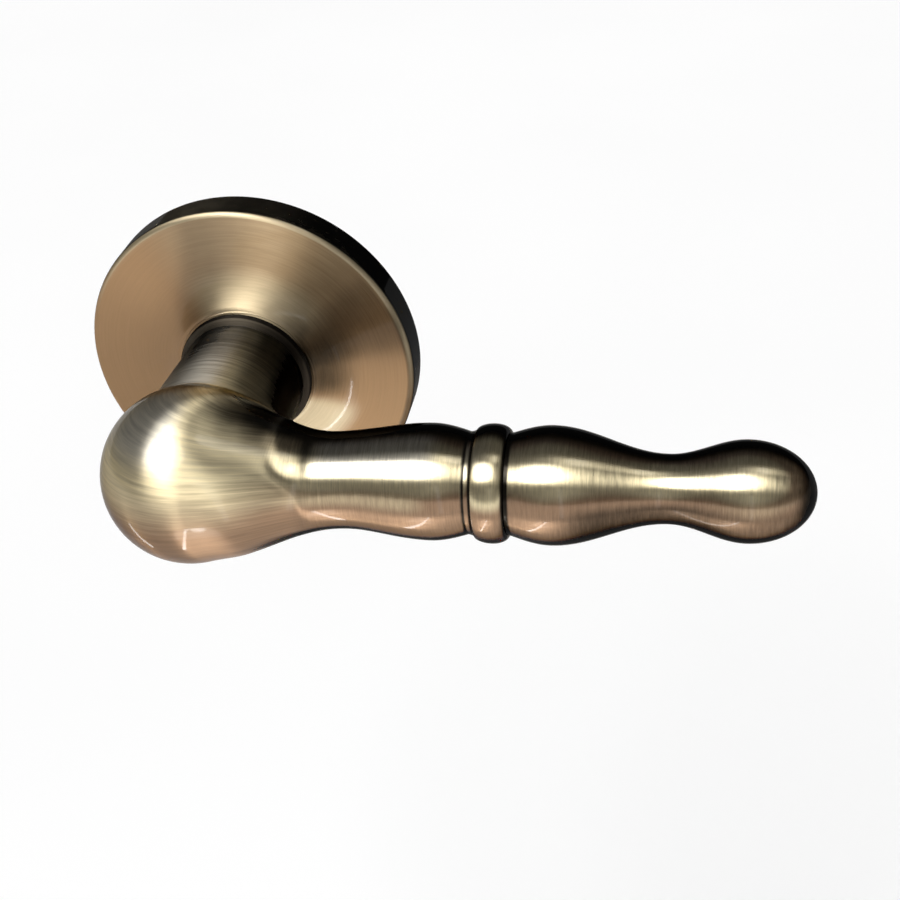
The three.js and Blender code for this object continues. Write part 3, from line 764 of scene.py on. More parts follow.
@dataclass
class Lever:
    """Grip, ball, neck and tail in one skin, with the spindle's socket and the grub screw's hole.

    The rows of the skin run from the tip along the grip, turn through the ball on planes that
    pivot about a line beside the elbow, and go down the neck into the tail and the socket. The
    attributes give the radii, places and depths of its features, and the size of its fillets.
    """

    grip: Grip = field(default_factory=Grip)
    columns: int = 192
    axis_depth: float = 44.0
    neck_root_depth: float = 12.1
    neck_root: float = 11.8
    root_round: float = 0.3
    neck_flare: float = 1.3
    neck_cap: float = 37.0
    pivot_x: float = 19.0
    pivot_depth: float = 26.0
    elbow_planes: int = 132
    elbow_bow: float = 7.7
    fillet: float = 0.6
    crotch_fillet: float = 4.2
    tail_front: float = 8.53
    tail_shoulder: float = 5.4
    tail: float = 7.23
    key_flat: float = 6.63
    clip_groove: float = 6.73
    clip_from: float = -1.2
    clip_to: float = -2.4
    tail_end: float = -3.4
    socket: float = 8.4
    socket_chamfer: float = 0.6
    socket_depth: float = 27.3
    grub_depth: float = 20.5
    grub_hole: float = 3.3
    grub_floor: float = 4.4
    patch_cells: int = 12
    patch_reach: float = 5.0

    def __post_init__(self) -> None:
        """Takes the ball's radius and the axis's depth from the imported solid."""
        low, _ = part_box("lever")
        self.grip.ball = -low[0] / MM
        self.axis_depth = -low[1] / MM - self.grip.ball
        self.outline = self.grip.profile()

    def bar_radius(self, x: np.ndarray) -> np.ndarray:
        """Radius of the grip, and of the ball before the shoulder.

        Args:
            x: places along the grip's axis.

        Returns:
            One radius for each place.
        """
        ball = np.sqrt(np.clip(self.grip.ball ** 2 - x ** 2, 0, None))
        bar = np.interp(x, self.outline[:, 0], self.outline[:, 1])
        return np.where(x < self.grip.ball_length, ball, bar)

    def outside_bar(self, at: np.ndarray) -> np.ndarray:
        """How far points lie outside the ball and the grip, less than 0 inside.

        Before the shoulder it is the distance from the ball, √(x² + y² + z²) - R. Past it, it is
        the distance from the turned surface, (√(y² + z²) - r(x)) cos(slope), with y and z taken
        from the section's own centre.

        Args:
            at: points in millimetres, in an array whose last side is 3 long.

        Returns:
            One number for each point.
        """
        x, y, z = at[..., 0], at[..., 1] + self.axis_depth, at[..., 2]
        ball = np.sqrt(x ** 2 + y ** 2 + z ** 2) - self.grip.ball
        lean, step = self.grip.lean(x), 0.05
        slope = (self.bar_radius(x + step) - self.bar_radius(x - step)) / (2 * step)
        bar = np.hypot(y + HUMP[1] * lean, z + HUMP[2] * lean) - self.bar_radius(x)
        bar = bar / np.sqrt(1 + slope ** 2)
        return np.where(x < self.grip.ball_length, ball, bar)

    def neck_share(self, depth: np.ndarray) -> np.ndarray:
        """How far depths have come from the neck's root to the grip's axis."""
        return (depth - self.neck_root_depth) / (self.axis_depth - self.neck_root_depth)

    def outside_neck(self, at: np.ndarray) -> np.ndarray:
        """How far points lie outside the neck: a slight cone about Y that ends inside the ball.

        Args:
            at: points in millimetres, in an array whose last side is 3 long.

        Returns:
            One number for each point, less than 0 inside.
        """
        depth = -at[..., 1]
        flare = self.neck_flare * self.neck_share(depth)
        side = np.hypot(at[..., 0], at[..., 2]) - self.neck_root - flare
        return np.maximum(side, depth - self.neck_cap)

    def outside(self, at: np.ndarray) -> np.ndarray:
        """How far points lie outside the lever, with a fillet where the neck meets the rest.

        Two distances a and b join as min(a, b) - h² / 4k, where h = k - |a - b| and k is the
        fillet's size, which grows towards the crotch under the grip.

        Args:
            at: points in millimetres, in an array whose last side is 3 long.

        Returns:
            One number for each point, less than 0 inside.
        """
        bar, neck = self.outside_bar(at), self.outside_neck(at)
        towards_grip = np.clip(at[..., 0] / (np.hypot(at[..., 0], at[..., 2]) + 1e-9), 0, 1)
        size = self.fillet + self.crotch_fillet * towards_grip ** 2
        near = np.clip(size - np.abs(bar - neck), 0, None)
        return np.minimum(bar, neck) - near ** 2 / (4 * size)

    def reach(self, centre: np.ndarray, ray: np.ndarray, most: float = 34.0) -> np.ndarray:
        """Distance from a centre along each ray to the lever's surface.

        The first step outside is found on an even scale, then halved until it is exact.

        Args:
            centre: points inside the lever.
            ray: unit directions, in an array of the same shape.
            most: the longest reach that is looked at.

        Returns:
            One distance for each ray.
        """
        scale = np.linspace(1.0, most, 80)
        tried = centre[..., None, :] + ray[..., None, :] * scale[:, None]
        first = np.argmax(self.outside(tried) > 0, axis=-1)
        low, high = scale[np.maximum(first - 1, 0)], scale[first]
        for _ in range(40):
            middle = (low + high) / 2
            inside = self.outside(centre + ray * middle[..., None]) < 0
            low, high = np.where(inside, middle, low), np.where(inside, high, middle)
        return (low + high) / 2

    def turn(self) -> np.ndarray:
        """Angle of each column around the skin, 0 on the outside of the elbow and then up."""
        return around(self.columns)

    def grip_rows(self) -> np.ndarray:
        """Lays rows from the tip to the pivot's plane: circles in planes across the grip.

        Returns:
            The points, rows by columns by 3.
        """
        outline = self.outline[self.outline[:, 0] > self.pivot_x][::-1]
        x, radius = outline[:, :1], outline[:, 1:]
        lean = self.grip.lean(x)
        y = -self.axis_depth - HUMP[1] * lean - radius * np.cos(self.turn())
        z = -HUMP[2] * lean + radius * np.sin(self.turn())
        return np.stack([np.broadcast_to(x, y.shape), y, z], axis=-1)

    def elbow_rows(self) -> np.ndarray:
        """Lays rows through the ball: sections on planes that turn about the pivot.

        At the angle a the plane holds Z and the direction (-sin a, -cos a, 0), and each point lies
        where a ray from the section's centre leaves the lever.

        Returns:
            The points, rows by columns by 3.
        """
        angle = np.linspace(0, math.pi / 2, self.elbow_planes + 1)[:, None]
        across = self.axis_depth - self.pivot_depth
        run = (across * np.cos(angle) ** 2 + self.pivot_x * np.sin(angle) ** 2
               + self.elbow_bow * np.sin(2 * angle) ** 2)
        outward = np.stack([-np.sin(angle), -np.cos(angle), 0 * angle], axis=-1)
        pivot = np.array([self.pivot_x, -self.pivot_depth, 0.0])
        lean = self.grip.lean(np.array(self.pivot_x)) * np.cos(angle[..., None]) ** 2
        centre = pivot + run[..., None] * outward - lean * HUMP
        up = np.array([0.0, 0.0, 1.0])
        turn = self.turn()[None, :, None]
        ray = np.cos(turn) * outward + np.sin(turn) * up
        centre = np.broadcast_to(centre, ray.shape)
        return centre + ray * self.reach(centre, ray)[..., None]

    def neck_rows(self) -> np.ndarray:
        """Lays rows down the neck to its root, with the grub screw's hole on the underside.

        Within a patch of the grid the points are drawn in to circles. Half the way out from the
        patch's middle they lie on the hole's edge, and inside it they go down the hole's wall.

        Returns:
            The points, rows by columns by 3.
        """
        cells, step, edge_at = self.patch_cells, 0.25, 0.5
        upper, lower = self.grub_depth + self.patch_reach, self.grub_depth - self.patch_reach
        depths = np.concatenate([
            np.arange(self.pivot_depth - step, upper, -step),
            np.linspace(upper, lower, 2 * cells + 1),
            np.linspace(lower - 2 * step, self.neck_root_depth + self.root_round, 6),
        ])
        turn = np.tile(self.turn(), (len(depths), 1))
        depth = np.tile(depths[:, None], (1, self.columns))
        middle, below = int(np.argmin(np.abs(depths - self.grub_depth))), 3 * self.columns // 4
        patch = (slice(middle - cells, middle + cells + 1), slice(below - cells, below + cells + 1))
        a, b = np.meshgrid(np.linspace(1, -1, 2 * cells + 1), np.linspace(-1, 1, 2 * cells + 1),
                           indexing="ij")
        square, length = np.maximum(np.abs(a), np.abs(b)), np.hypot(a, b) + 1e-9
        edge_depth = self.grub_depth + self.grub_hole * (a / length)
        edge_x = self.grub_hole * (b / length)
        radius = self.neck_root + 0.5 * self.neck_flare
        edge = np.stack([edge_x, -edge_depth, -np.sqrt(radius ** 2 - edge_x ** 2)], axis=-1)
        share = smooth_step(edge_at, 1.0, square)
        depth[patch] = faded(edge_depth, depth[patch], share)
        turn[patch] = faded(1.5 * math.pi + np.arcsin(edge_x / radius), turn[patch], share)
        cone = self.neck_root + self.neck_flare * self.neck_share(depth)
        points = np.stack([-cone * np.cos(turn), -depth, cone * np.sin(turn)], axis=-1)
        points[depths > upper] = self.blended_neck(depths[depths > upper])
        inside = np.clip(square / edge_at, 0, 1)
        sunk = inside[..., None] < 0.999
        points[patch] = np.where(sunk, self.hole(edge, inside), points[patch])
        return points

    def hole(self, edge: np.ndarray, inside: np.ndarray) -> np.ndarray:
        """Shapes the grub screw's hole: a wall that drops from its edge to a flat floor.

        Args:
            edge: the point of the hole's edge that each point is drawn out towards.
            inside: how far out each point lies, 1 on the edge.

        Returns:
            The points, as deep as they lie in the hole.
        """
        foot = 0.3
        wall = edge.copy()
        wall[..., 2] = faded(-self.grub_floor, edge[..., 2], smooth_step(0.25, 1.0, inside))
        out = np.clip(inside / foot, 0, 1)[..., None]
        floor = np.array([0.0, -self.grub_depth, 0.0]) * (1 - out) + wall * out
        points = np.where(inside[..., None] < foot, floor, wall)
        points[..., 2] = wall[..., 2]
        return points

    def blended_neck(self, depth: np.ndarray) -> np.ndarray:
        """Lays circles across the neck, with whatever the fillet adds to them.

        Args:
            depth: their depths.

        Returns:
            The points, rows by columns by 3.
        """
        turn = self.turn()[None, :, None]
        ray = np.cos(turn) * np.array([-1.0, 0.0, 0.0]) + np.sin(turn) * np.array([0.0, 0.0, 1.0])
        ray = np.broadcast_to(ray, (len(depth), self.columns, 3))
        centre = np.zeros_like(ray)
        centre[..., 1] = -depth[:, None]
        return centre + ray * self.reach(centre, ray)[..., None]

    def tail_rows(self) -> np.ndarray:
        """Lays rows from the neck's root through the tail and its groove, and up the socket.

        Returns:
            The points, rows by columns by 3.
        """
        turn, bevel = self.turn(), 0.2
        flats = np.minimum(self.tail, self.key_flat / np.maximum(np.abs(np.sin(turn)), 1e-6))
        groove = np.minimum(self.clip_groove, flats)
        ones = np.ones_like(turn)
        half = self.socket / 2
        corner = (2 * half - self.socket_chamfer) / math.sqrt(2)
        straight = np.maximum(np.abs(np.cos(turn)), np.abs(np.sin(turn)))
        slanted = turn - math.pi / 4
        diagonal = np.maximum(np.abs(np.cos(slanted)), np.abs(np.sin(slanted)))
        square = np.minimum(half / straight, corner / diagonal)
        root = self.neck_root_depth
        steps = [
            (self.neck_root * ones, root + self.root_round),
            ((self.neck_root - 0.3 * self.root_round) * ones, root + 0.3 * self.root_round),
            ((self.neck_root - self.root_round) * ones, root),
            (self.tail_front * ones, root),
            (self.tail_front * ones, self.tail_shoulder),
            (flats, self.tail_shoulder),
            (flats, self.clip_from),
            (groove, self.clip_from),
            (groove, self.clip_to),
            (flats, self.clip_to),
            (flats, self.tail_end + bevel),
            (flats - bevel, self.tail_end),
            (square, self.tail_end),
            (square, self.socket_depth),
            (0.5 * square, self.socket_depth),
        ]
        radius = np.stack([radius for radius, _ in steps])
        depth = np.array([depth for _, depth in steps])[:, None]
        y = np.broadcast_to(-depth, radius.shape)
        return np.stack([-radius * np.cos(turn), y, radius * np.sin(turn)], axis=-1)

    def build(self) -> bpy.types.Object:
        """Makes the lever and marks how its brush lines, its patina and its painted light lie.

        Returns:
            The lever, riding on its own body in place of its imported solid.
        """
        rows = [self.grip_rows(), self.elbow_rows(), self.neck_rows(), self.tail_rows()]
        piece = skin_mesh("lever_skin", Lattice(np.vstack(rows)), crease=38)
        patina_and_light = PatinaAndPaintedLight(self, positions(piece), normals(piece))
        for name, values in patina_and_light.marks().items():
            mark(piece, name, values)
        piece.data.materials.append(COPPER_BRASS.material())
        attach(piece, "lever")
        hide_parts("lever")
        return piece


@dataclass
class PatinaAndPaintedLight:
    """Patina and painted light on the lever, at each point of its skin.

    One mark runs from 0 on dark patina and painted shade to 1 on bare metal, another from plain
    metal to its painted highlight, and a third gives a painted pale sheen. The limits of a smooth
    step are millimetres for a place along the grip, and parts of a unit direction for the way in
    which the skin faces.

    Attributes:
        lever: the lever.
        at: the points in millimetres.
        facing: the directions in which the skin faces there.
        x: how far each point lies along the grip.
        right, up, front: how much the skin faces right, up and the painted lit side.
        seam: above 0 on the neck's side of its seam with the bar, in millimetres.
        elbow, on_neck, past_bead: 1 before the shoulder, on the neck and past the bead, else 0.
    """

    lever: Lever
    at: np.ndarray
    facing: np.ndarray

    def __post_init__(self) -> None:
        """Works out where each point lies and which way the skin faces there."""
        self.x, self.right, self.up = self.at[:, 0], self.facing[:, 0], self.facing[:, 2]
        self.front = self.facing @ PAINTED_LIT_SIDE
        self.seam = self.lever.outside_bar(self.at) - self.lever.outside_neck(self.at)
        self.elbow = self.x < self.lever.pivot_x
        self.on_neck = smooth_step(0.0, 0.5, self.seam) * self.elbow
        self.past_bead = smooth_step(45.0, 55.0, self.x)

    def marks(self) -> dict[str, np.ndarray]:
        """Gathers what the lever's finish reads.

        Returns:
            Values at the points by the name that they are stored under.
        """
        rim = 5.0 * smooth_step(0.25, 0.75, self.up)
        on_ball = 1 - smooth_step(18.5, 25.5, self.x + rim)
        return {
            "neck": self.on_neck,
            "lengthwise": on_ball * (1 - self.on_neck),
            "coarse": np.maximum(1 - smooth_step(12.0, 24.0, self.x), self.on_neck),
            "relief_and_painted_shade": self.relief_and_painted_shade(),
            "polish_and_painted_highlight": self.polish_and_painted_highlight(),
            "pale": self.pale(),
        }

    def grip_relief_and_painted_shade(self) -> np.ndarray:
        """Leaves the grip bare in two steps down its front, with painted shade above, along its
        bottom edge, at its tip and low on its outer half, and a little bare metal behind and under
        it.

        Returns:
            The share of bare metal, against patina and painted shade, at each point.
        """
        # bare metal in two steps towards the painted lit side, painted shade on the top and back
        first = (0.4 + 0.1 * self.past_bead) * smooth_step(0.16, 0.46, self.front)
        second = smooth_step(0.58, 0.78, self.front - 0.12 * self.past_bead)
        second = (0.6 - 0.1 * self.past_bead) * second
        # painted shade low on the grip's outer half
        outer_half = smooth_step(61.0, 71.0, self.x) * (1 - 0.4 * smooth_step(84.0, 97.0, self.x))
        shaded = outer_half * smooth_step(0.38, 0.02, self.up)
        # painted shade along the bottom edge
        below = smooth_step(-0.72, -0.44, self.up - 0.10 * smooth_step(75.0, 95.0, self.x))
        # painted shade at the tip
        tip = 1 - smooth_step(0.55, 0.85, self.right)
        behind = 0.3 * smooth_step(-0.25, -0.95, self.front)
        under = 0.3 * smooth_step(-0.74, -0.97, self.up)
        seen = (first + second) * (1 - 0.68 * shaded) * below * tip
        return np.maximum(seen, np.maximum(behind, under))

    def ball_relief_and_painted_shade(self) -> np.ndarray:
        """Bare metal on the ball, with painted shade on its back and half of it where grip and neck
        hide it.
        """
        # painted shade where grip and neck hide the ball
        painted_hidden_shade = smooth_step(0.22, 0.42, self.right) * smooth_step(0.60, 0.80, self.up)
        return smooth_step(-0.75, -0.20, self.front) * (1 - 0.5 * painted_hidden_shade)

    def neck_relief_and_painted_shade(self) -> np.ndarray:
        """Leaves the neck a little bare, with more painted shade towards its right side and its
        root.

        Returns:
            The share of bare metal, against patina and painted shade, at each point.
        """
        # painted shade towards the neck's right side
        side = 0.42 - 0.14 * smooth_step(0.20, 0.60, self.right)
        side = side - 0.24 * smooth_step(0.76, 0.92, self.right)
        # painted shade towards the root
        return side * (0.35 + smooth_step(15.0, 34.0, -self.at[:, 1]))

    def relief_and_painted_shade(self) -> np.ndarray:
        """Joins the marks, with patina in the grooves, painted shade where the brushing turns and a
        painted highlight beside the ball.

        Returns:
            The share of bare metal, against patina and painted shade, at each point.
        """
        along_grip = smooth_step(4.0, 21.0, self.x + 5.0 * smooth_step(0.2, 0.8, self.up))
        relief_and_painted_shade = faded(self.ball_relief_and_painted_shade(), self.grip_relief_and_painted_shade(), along_grip)
        # painted shade in a band across the top where the brushing turns
        hollow = np.exp(-((self.x - 22.6) / 1.3) ** 2) * smooth_step(0.45, 0.75, self.up)
        relief_and_painted_shade = faded(relief_and_painted_shade * (1 - 0.7 * hollow), self.neck_relief_and_painted_shade(), self.on_neck)
        # painted highlight along the top of the seam beside the ball
        rim = np.exp(-((self.seam + 0.5) / 0.8) ** 2) * self.elbow
        relief_and_painted_shade = np.maximum(relief_and_painted_shade, 0.45 * rim * smooth_step(0.1, 0.5, self.up))
        groove = np.min(np.abs(self.at[:, :1] - self.lever.grip.grooves()[None, :]), axis=1)
        return relief_and_painted_shade * smooth_step(0.1, 0.45, groove)

    def polish_and_painted_highlight(self) -> np.ndarray:
        """Paints the highlight in a band along the grip's upper front, and on the bead, the ball's
        top and the neck.

        Returns:
            The share of painted highlight at each point.
        """
        # painted highlight where the skin faces the painted highlight side
        upper = self.facing @ PAINTED_HIGHLIGHT_SIDE
        first, second = self.lever.grip.grooves()[1:3]
        on_bead = (self.x > first) & (self.x < second)
        waists = 0.4 * smooth_step(46.0, 40.0, self.x) + 0.25 * smooth_step(85.0, 95.0, self.x)
        grip = np.maximum.reduce([
            smooth_step(0.80, 0.97, upper), smooth_step(0.60, 0.80, upper) * waists,
            0.9 * (on_bead * smooth_step(0.02, 0.35, self.up)),
        ])
        # painted highlight on the ball's top
        ball = 0.8 * smooth_step(-0.3, 0.6, self.up)
        return np.maximum(faded(grip, ball, 1 - smooth_step(8.0, 24.0, self.x)), self.on_neck)

    def pale(self) -> np.ndarray:
        """Paints a pale sheen on the top of the ball and of the grip's inner half, and on the
        neck's left side.

        Returns:
            The share of painted pale sheen at each point.
        """
        # painted pale sheen
        upward = smooth_step(0.25, -0.05, self.right) * smooth_step(0.5, 0.8, self.up)
        neck = 0.7 * smooth_step(0.4, 0.1, self.right)
        return faded((0.6 - 0.5 * self.past_bead) * upward, neck, self.on_neck)


# ---- Rose and collar -----------------------------------------------------------------------------


@dataclass
class Rose:
    """The spun cover: rim, rounded lip, flat band, shallow dish and the flare around the collar.

    The attributes give the shell's thickness and the widths, depths and radii of its features.
    """

    skin: float = 0.7
    lip: float = 1.0
    band: float = 4.3
    depth: float = 7.2
    dish_rise: float = 2.75
    hollow: float = 3.4
    flare_width: float = 0.5
    flare_height: float = 0.25
    throat: float = 13.3
    hole: float = 10.98
    columns: int = 224

    def __post_init__(self) -> None:
        """Takes the rose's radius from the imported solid."""
        self.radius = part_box("rose_cover")[1][0] / MM

    def outline(self) -> np.ndarray:
        """Draws the outer side, from the door to the hole.

        The lip is a quarter circle, the dish rises with a power of the way in, and the flare is a
        quarter ellipse that ends level.

        Returns:
            [radius, depth] points.
        """
        band_end = self.radius - self.lip - self.band
        flare = self.throat + self.flare_width
        flare_foot = self.depth + self.dish_rise
        top = flare_foot + self.flare_height
        inward = np.linspace(0, 1, 29)[1:-1]
        dish = np.stack([band_end + (flare - band_end) * inward,
                         self.depth + self.dish_rise * inward ** self.hollow], axis=1)
        return np.vstack([
            even((self.radius, 0.0), (self.radius, self.depth - self.lip), 8)[:-1],
            arc((self.radius - self.lip, self.depth - self.lip), (self.lip, self.lip), 0, 90, 10),
            even((self.radius - self.lip, self.depth), (band_end, self.depth), 8)[1:],
            dish,
            arc((flare, top), (self.flare_width, self.flare_height), 270, 180, 14),
            even((self.throat, top), (self.hole, top), 4)[1:],
        ])

    def build(self) -> bpy.types.Object:
        """Makes the cover as a thin shell.

        Returns:
            The cover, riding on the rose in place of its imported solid.
        """
        outer = self.outline()
        inner = offset(outer, self.skin)
        inner[0, 1] = 0.0
        inner[-1, 0] = self.hole
        section = np.vstack([outer, inner[::-1]])
        piece = skin_mesh("rose_shell", revolved(section, self.columns), crease=35)
        mark(piece, "relief_and_painted_shade", self.relief_and_painted_shade(positions(piece), normals(piece)))
        mark(piece, "polish_and_painted_highlight", self.polish_and_painted_highlight(positions(piece)))
        piece.data.materials.append(ROSE_BRASS.material())
        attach(piece, "rose")
        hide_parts("rose_cover")
        return piece

    def lip_share(self, away: np.ndarray) -> np.ndarray:
        """Rises from 0 to 1 where points this far from the axis come to the rounded lip."""
        return smooth_step(self.radius - 1.2, self.radius - 0.7, away)

    def relief_and_painted_shade(self, at: np.ndarray, facing: np.ndarray) -> np.ndarray:
        """Leaves the front bare, with painted shade on the rim's side, in a wedge up to the right,
        beside the collar and at the right edge.

        Args:
            at: points in millimetres.
            facing: directions in which the cover faces there.

        Returns:
            The share of bare metal, against painted shade, at each point.
        """
        away = np.hypot(at[:, 0], at[:, 2])
        # painted dark reflection in a wedge up to the right
        painted_dark_fan = smooth_step(0.93, 0.985, towards(at, 22.0)) * (1 - self.lip_share(away))
        # painted shadow beside the collar on its right
        corner = smooth_step(0.83, 0.99, towards(at, 2.0)) * (1 - smooth_step(16.0, 25.0, away))
        outermost = smooth_step(self.radius - 1.5, self.radius - 0.9, away)
        # painted shade at the right of the outer edge
        edge = smooth_step(0.82, 0.94, towards(at, -5.0)) * outermost
        # painted shade on the rim's side, which faces away from the user
        front = smooth_step(0.15, 0.7, -facing[:, 1])
        return front * (1 - 0.4 * painted_dark_fan) * (1 - 0.72 * corner) * (1 - 0.6 * edge)

    def polish_and_painted_highlight(self, at: np.ndarray) -> np.ndarray:
        """Paints the highlight in a wedge above the collar, in one to its lower right, and on the
        lip's upper half.

        Args:
            at: points in millimetres.

        Returns:
            The share of painted highlight at each point.
        """
        away = np.hypot(at[:, 0], at[:, 2])
        outwards = 1 - 0.5 * smooth_step(16.0, 23.0, away)
        # painted highlight in a wedge above the collar
        above = 0.85 * smooth_step(0.5, 0.95, towards(at, 75.0)) * outwards
        inwards = 1 - smooth_step(20.0, 25.0, away)
        # painted highlight to the lower right of the collar
        below = 0.8 * smooth_step(0.88, 0.985, towards(at, -46.0)) * inwards
        # painted highlight on the lip's upper half
        lip = self.lip_share(away) * smooth_step(-0.2, 0.8, towards(at, 70.0))
        return np.maximum(np.maximum(above, below), lip)


@dataclass
class Collar:
    """The ring that closes the rose around the neck, with the spigot that guides the tail.

    The attributes give its radii, its depths and the size of its rounded edge and its foot.
    """

    bore: float = 8.78
    spigot: float = 10.68
    spigot_from: float = 5.4
    seat: float = 10.2
    front: float = 11.8
    edge: float = 0.6
    foot: float = 0.15
    columns: int = 160

    def __post_init__(self) -> None:
        """Takes the collar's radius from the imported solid."""
        self.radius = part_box("collar_ring")[1][0] / MM

    def build(self) -> bpy.types.Object:
        """Makes the collar.

        Returns:
            The collar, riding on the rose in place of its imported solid.
        """
        rounded = self.radius - self.edge
        section = np.vstack([
            even((self.bore, self.spigot_from), (self.spigot, self.spigot_from), 2),
            even((self.spigot, self.seat), (self.radius - self.foot, self.seat), 2),
            even((self.radius, self.seat + self.foot), (self.radius, self.front - self.edge), 3),
            arc((rounded, self.front - self.edge), (self.edge, self.edge), 0, 90, 8)[1:],
            even((rounded - 2 * self.foot, self.front), (self.bore, self.front), 6),
        ])
        piece = skin_mesh("collar_turned", revolved(section, self.columns), crease=35)
        # painted shade on the collar's sides that face away from the user, painted highlight on its
        # top
        mark(piece, "relief_and_painted_shade", smooth_step(0.3, 0.9, -normals(piece)[:, 1]))
        mark(piece, "polish_and_painted_highlight", 0.45 * smooth_step(0.2, 0.9, towards(positions(piece), 100.0)))
        piece.data.materials.append(COLLAR_BRONZE.material())
        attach(piece, "rose")
        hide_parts("collar_ring")
        return piece


# ---- Fasteners and washers behind the plate ------------------------------------------------------


def axis_of(node: str) -> Pair:
    """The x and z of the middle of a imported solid, in millimetres."""
    low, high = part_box(node)
    return (low[0] + high[0]) / 2 / MM, (low[2] + high[2]) / 2 / MM


def threaded(depth: np.ndarray, columns: int, root: np.ndarray, rise: np.ndarray, pitch: float,
             width: float) -> np.ndarray:
    """Radii of a screw thread: root + rise · max(0, 1 - |u| / width).

    The place u in the thread, from -1/2 to 1/2, is what is left of depth / pitch + turn / 360°.

    Args:
        depth: depths of the rows.
        columns: number of points around.
        root: radius beneath the thread at each row.
        rise: height of the thread at each row, less than 0 for a thread cut outwards in a bore.
        pitch: distance from one thread to the next.
        width: half the thread's foot, as a share of the pitch.

    Returns:
        One radius for each point, rows by columns.
    """
    turn = np.arange(columns) / columns
    place = (depth[:, None] / pitch + turn + 0.5) % 1.0 - 0.5
    return root[:, None] + rise[:, None] * np.clip(1 - np.abs(place) / width, 0, None)


@dataclass
class BoltPost:
    """A sleeve pressed into the plate, chamfered, and threaded from its far end.

    The attributes give its number and its radii and lengths, with the thread cut half its height
    wider at the mouth.
    """

    number: int
    radius: float = 3.5
    chamfer: float = 0.6
    bore: float = 1.65
    thread: float = 0.33
    pitch: float = 0.7
    thread_length: float = 12.0
    columns: int = 72

    def build(self) -> bpy.types.Object:
        """Makes the post.

        Returns:
            The post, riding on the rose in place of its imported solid.
        """
        node = f"bolt_post_{self.number}"
        low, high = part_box(node)
        top, end = -low[1] / MM, -high[1] / MM
        outside = np.vstack([
            even((0.5 * self.radius, top), (self.radius - self.chamfer, top), 2),
            even((self.radius, top - self.chamfer), (self.radius, end + self.chamfer), 12),
            even((self.radius - self.chamfer, end), (self.bore + 1.5 * self.thread, end), 2),
        ])
        depth = np.linspace(end + 0.01, end + self.thread_length, 140)
        entry = smooth_step(end + 0.5, end, depth)
        mouth = self.bore + 1.5 * self.thread * entry
        rise = self.thread * (1 - entry)
        bore = threaded(depth, self.columns, mouth, rise, self.pitch, 0.5)
        floor = 0.5 * bore[-1:]
        radius = np.vstack([outside[:, :1] * np.ones(self.columns), bore, floor])
        depths = np.concatenate([outside[:, 1], depth, depth[-1:]])
        lattice = Lattice(lathe_rows(radius, depths, axis_of(node)))
        piece = skin_mesh(f"post_{self.number}", lattice, crease=30)
        piece.data.materials.append(STEEL.material())
        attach(piece, "rose")
        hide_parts(node)
        return piece


@dataclass
class WoodScrew:
    """A countersunk wood screw with a rolled thread and a cross recess.

    The attributes give its number, its radii, heights and lengths, and how far below the head
    the thread starts to run out and is full.
    """

    number: int
    head: float = 3.3
    head_height: float = 1.9
    shank: float = 1.75
    thread: float = 0.58
    thread_foot: float = 0.24
    pitch: float = 1.6
    run_out: Pair = (0.6, 1.6)
    point: float = 4.2
    tip: float = 0.04
    recess_arm: float = 2.1
    recess_half: float = 0.45
    recess_depth: float = 1.0
    columns: int = 72

    def recess(self) -> np.ndarray:
        """Draws the cross as the further of its two arms' edges.

        Returns:
            Its radius at each turn.
        """
        turn = around(self.columns)
        c, s = np.abs(np.cos(turn)) + 1e-9, np.abs(np.sin(turn)) + 1e-9
        flat = np.minimum(self.recess_arm / c, self.recess_half / s)
        upright = np.minimum(self.recess_arm / s, self.recess_half / c)
        return np.maximum(flat, upright)

    def build(self) -> bpy.types.Object:
        """Makes the screw.

        Returns:
            The screw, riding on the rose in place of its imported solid.
        """
        node = f"wood_screw_{self.number}"
        low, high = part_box(node)
        top, end = -low[1] / MM, -high[1] / MM
        neck = top - self.head_height
        depth = np.linspace(end, neck - 0.4, 160)
        taper = np.clip((depth - end) / self.point, 0.0, 1.0) ** 0.8
        fade = smooth_step(neck - self.run_out[0], neck - self.run_out[1], depth)
        root = faded(self.tip, self.shank - self.thread, taper)
        rise = self.thread * taper * fade
        shaft = threaded(depth, self.columns, root, rise, self.pitch, self.thread_foot)
        ones, cross = np.ones(self.columns), self.recess()
        floor = top - self.recess_depth
        rows = [
            ((self.shank - self.thread) * ones, neck - 0.1), (self.head * ones - 0.1, top - 0.15),
            (self.head * ones, top - 0.05), (self.head * ones - 0.05, top),
            (cross, top), (0.85 * cross, floor), (0.3 * cross, floor),
        ]
        radius = np.vstack([shaft, np.stack([row for row, _ in rows])])
        depths = np.concatenate([depth, [place for _, place in rows]])
        lattice = Lattice(lathe_rows(radius, depths, axis_of(node)))
        piece = skin_mesh(f"screw_{self.number}", lattice, crease=30)
        piece.data.materials.append(YELLOW_ZINC.material())
        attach(piece, "rose")
        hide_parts(node)
        return piece


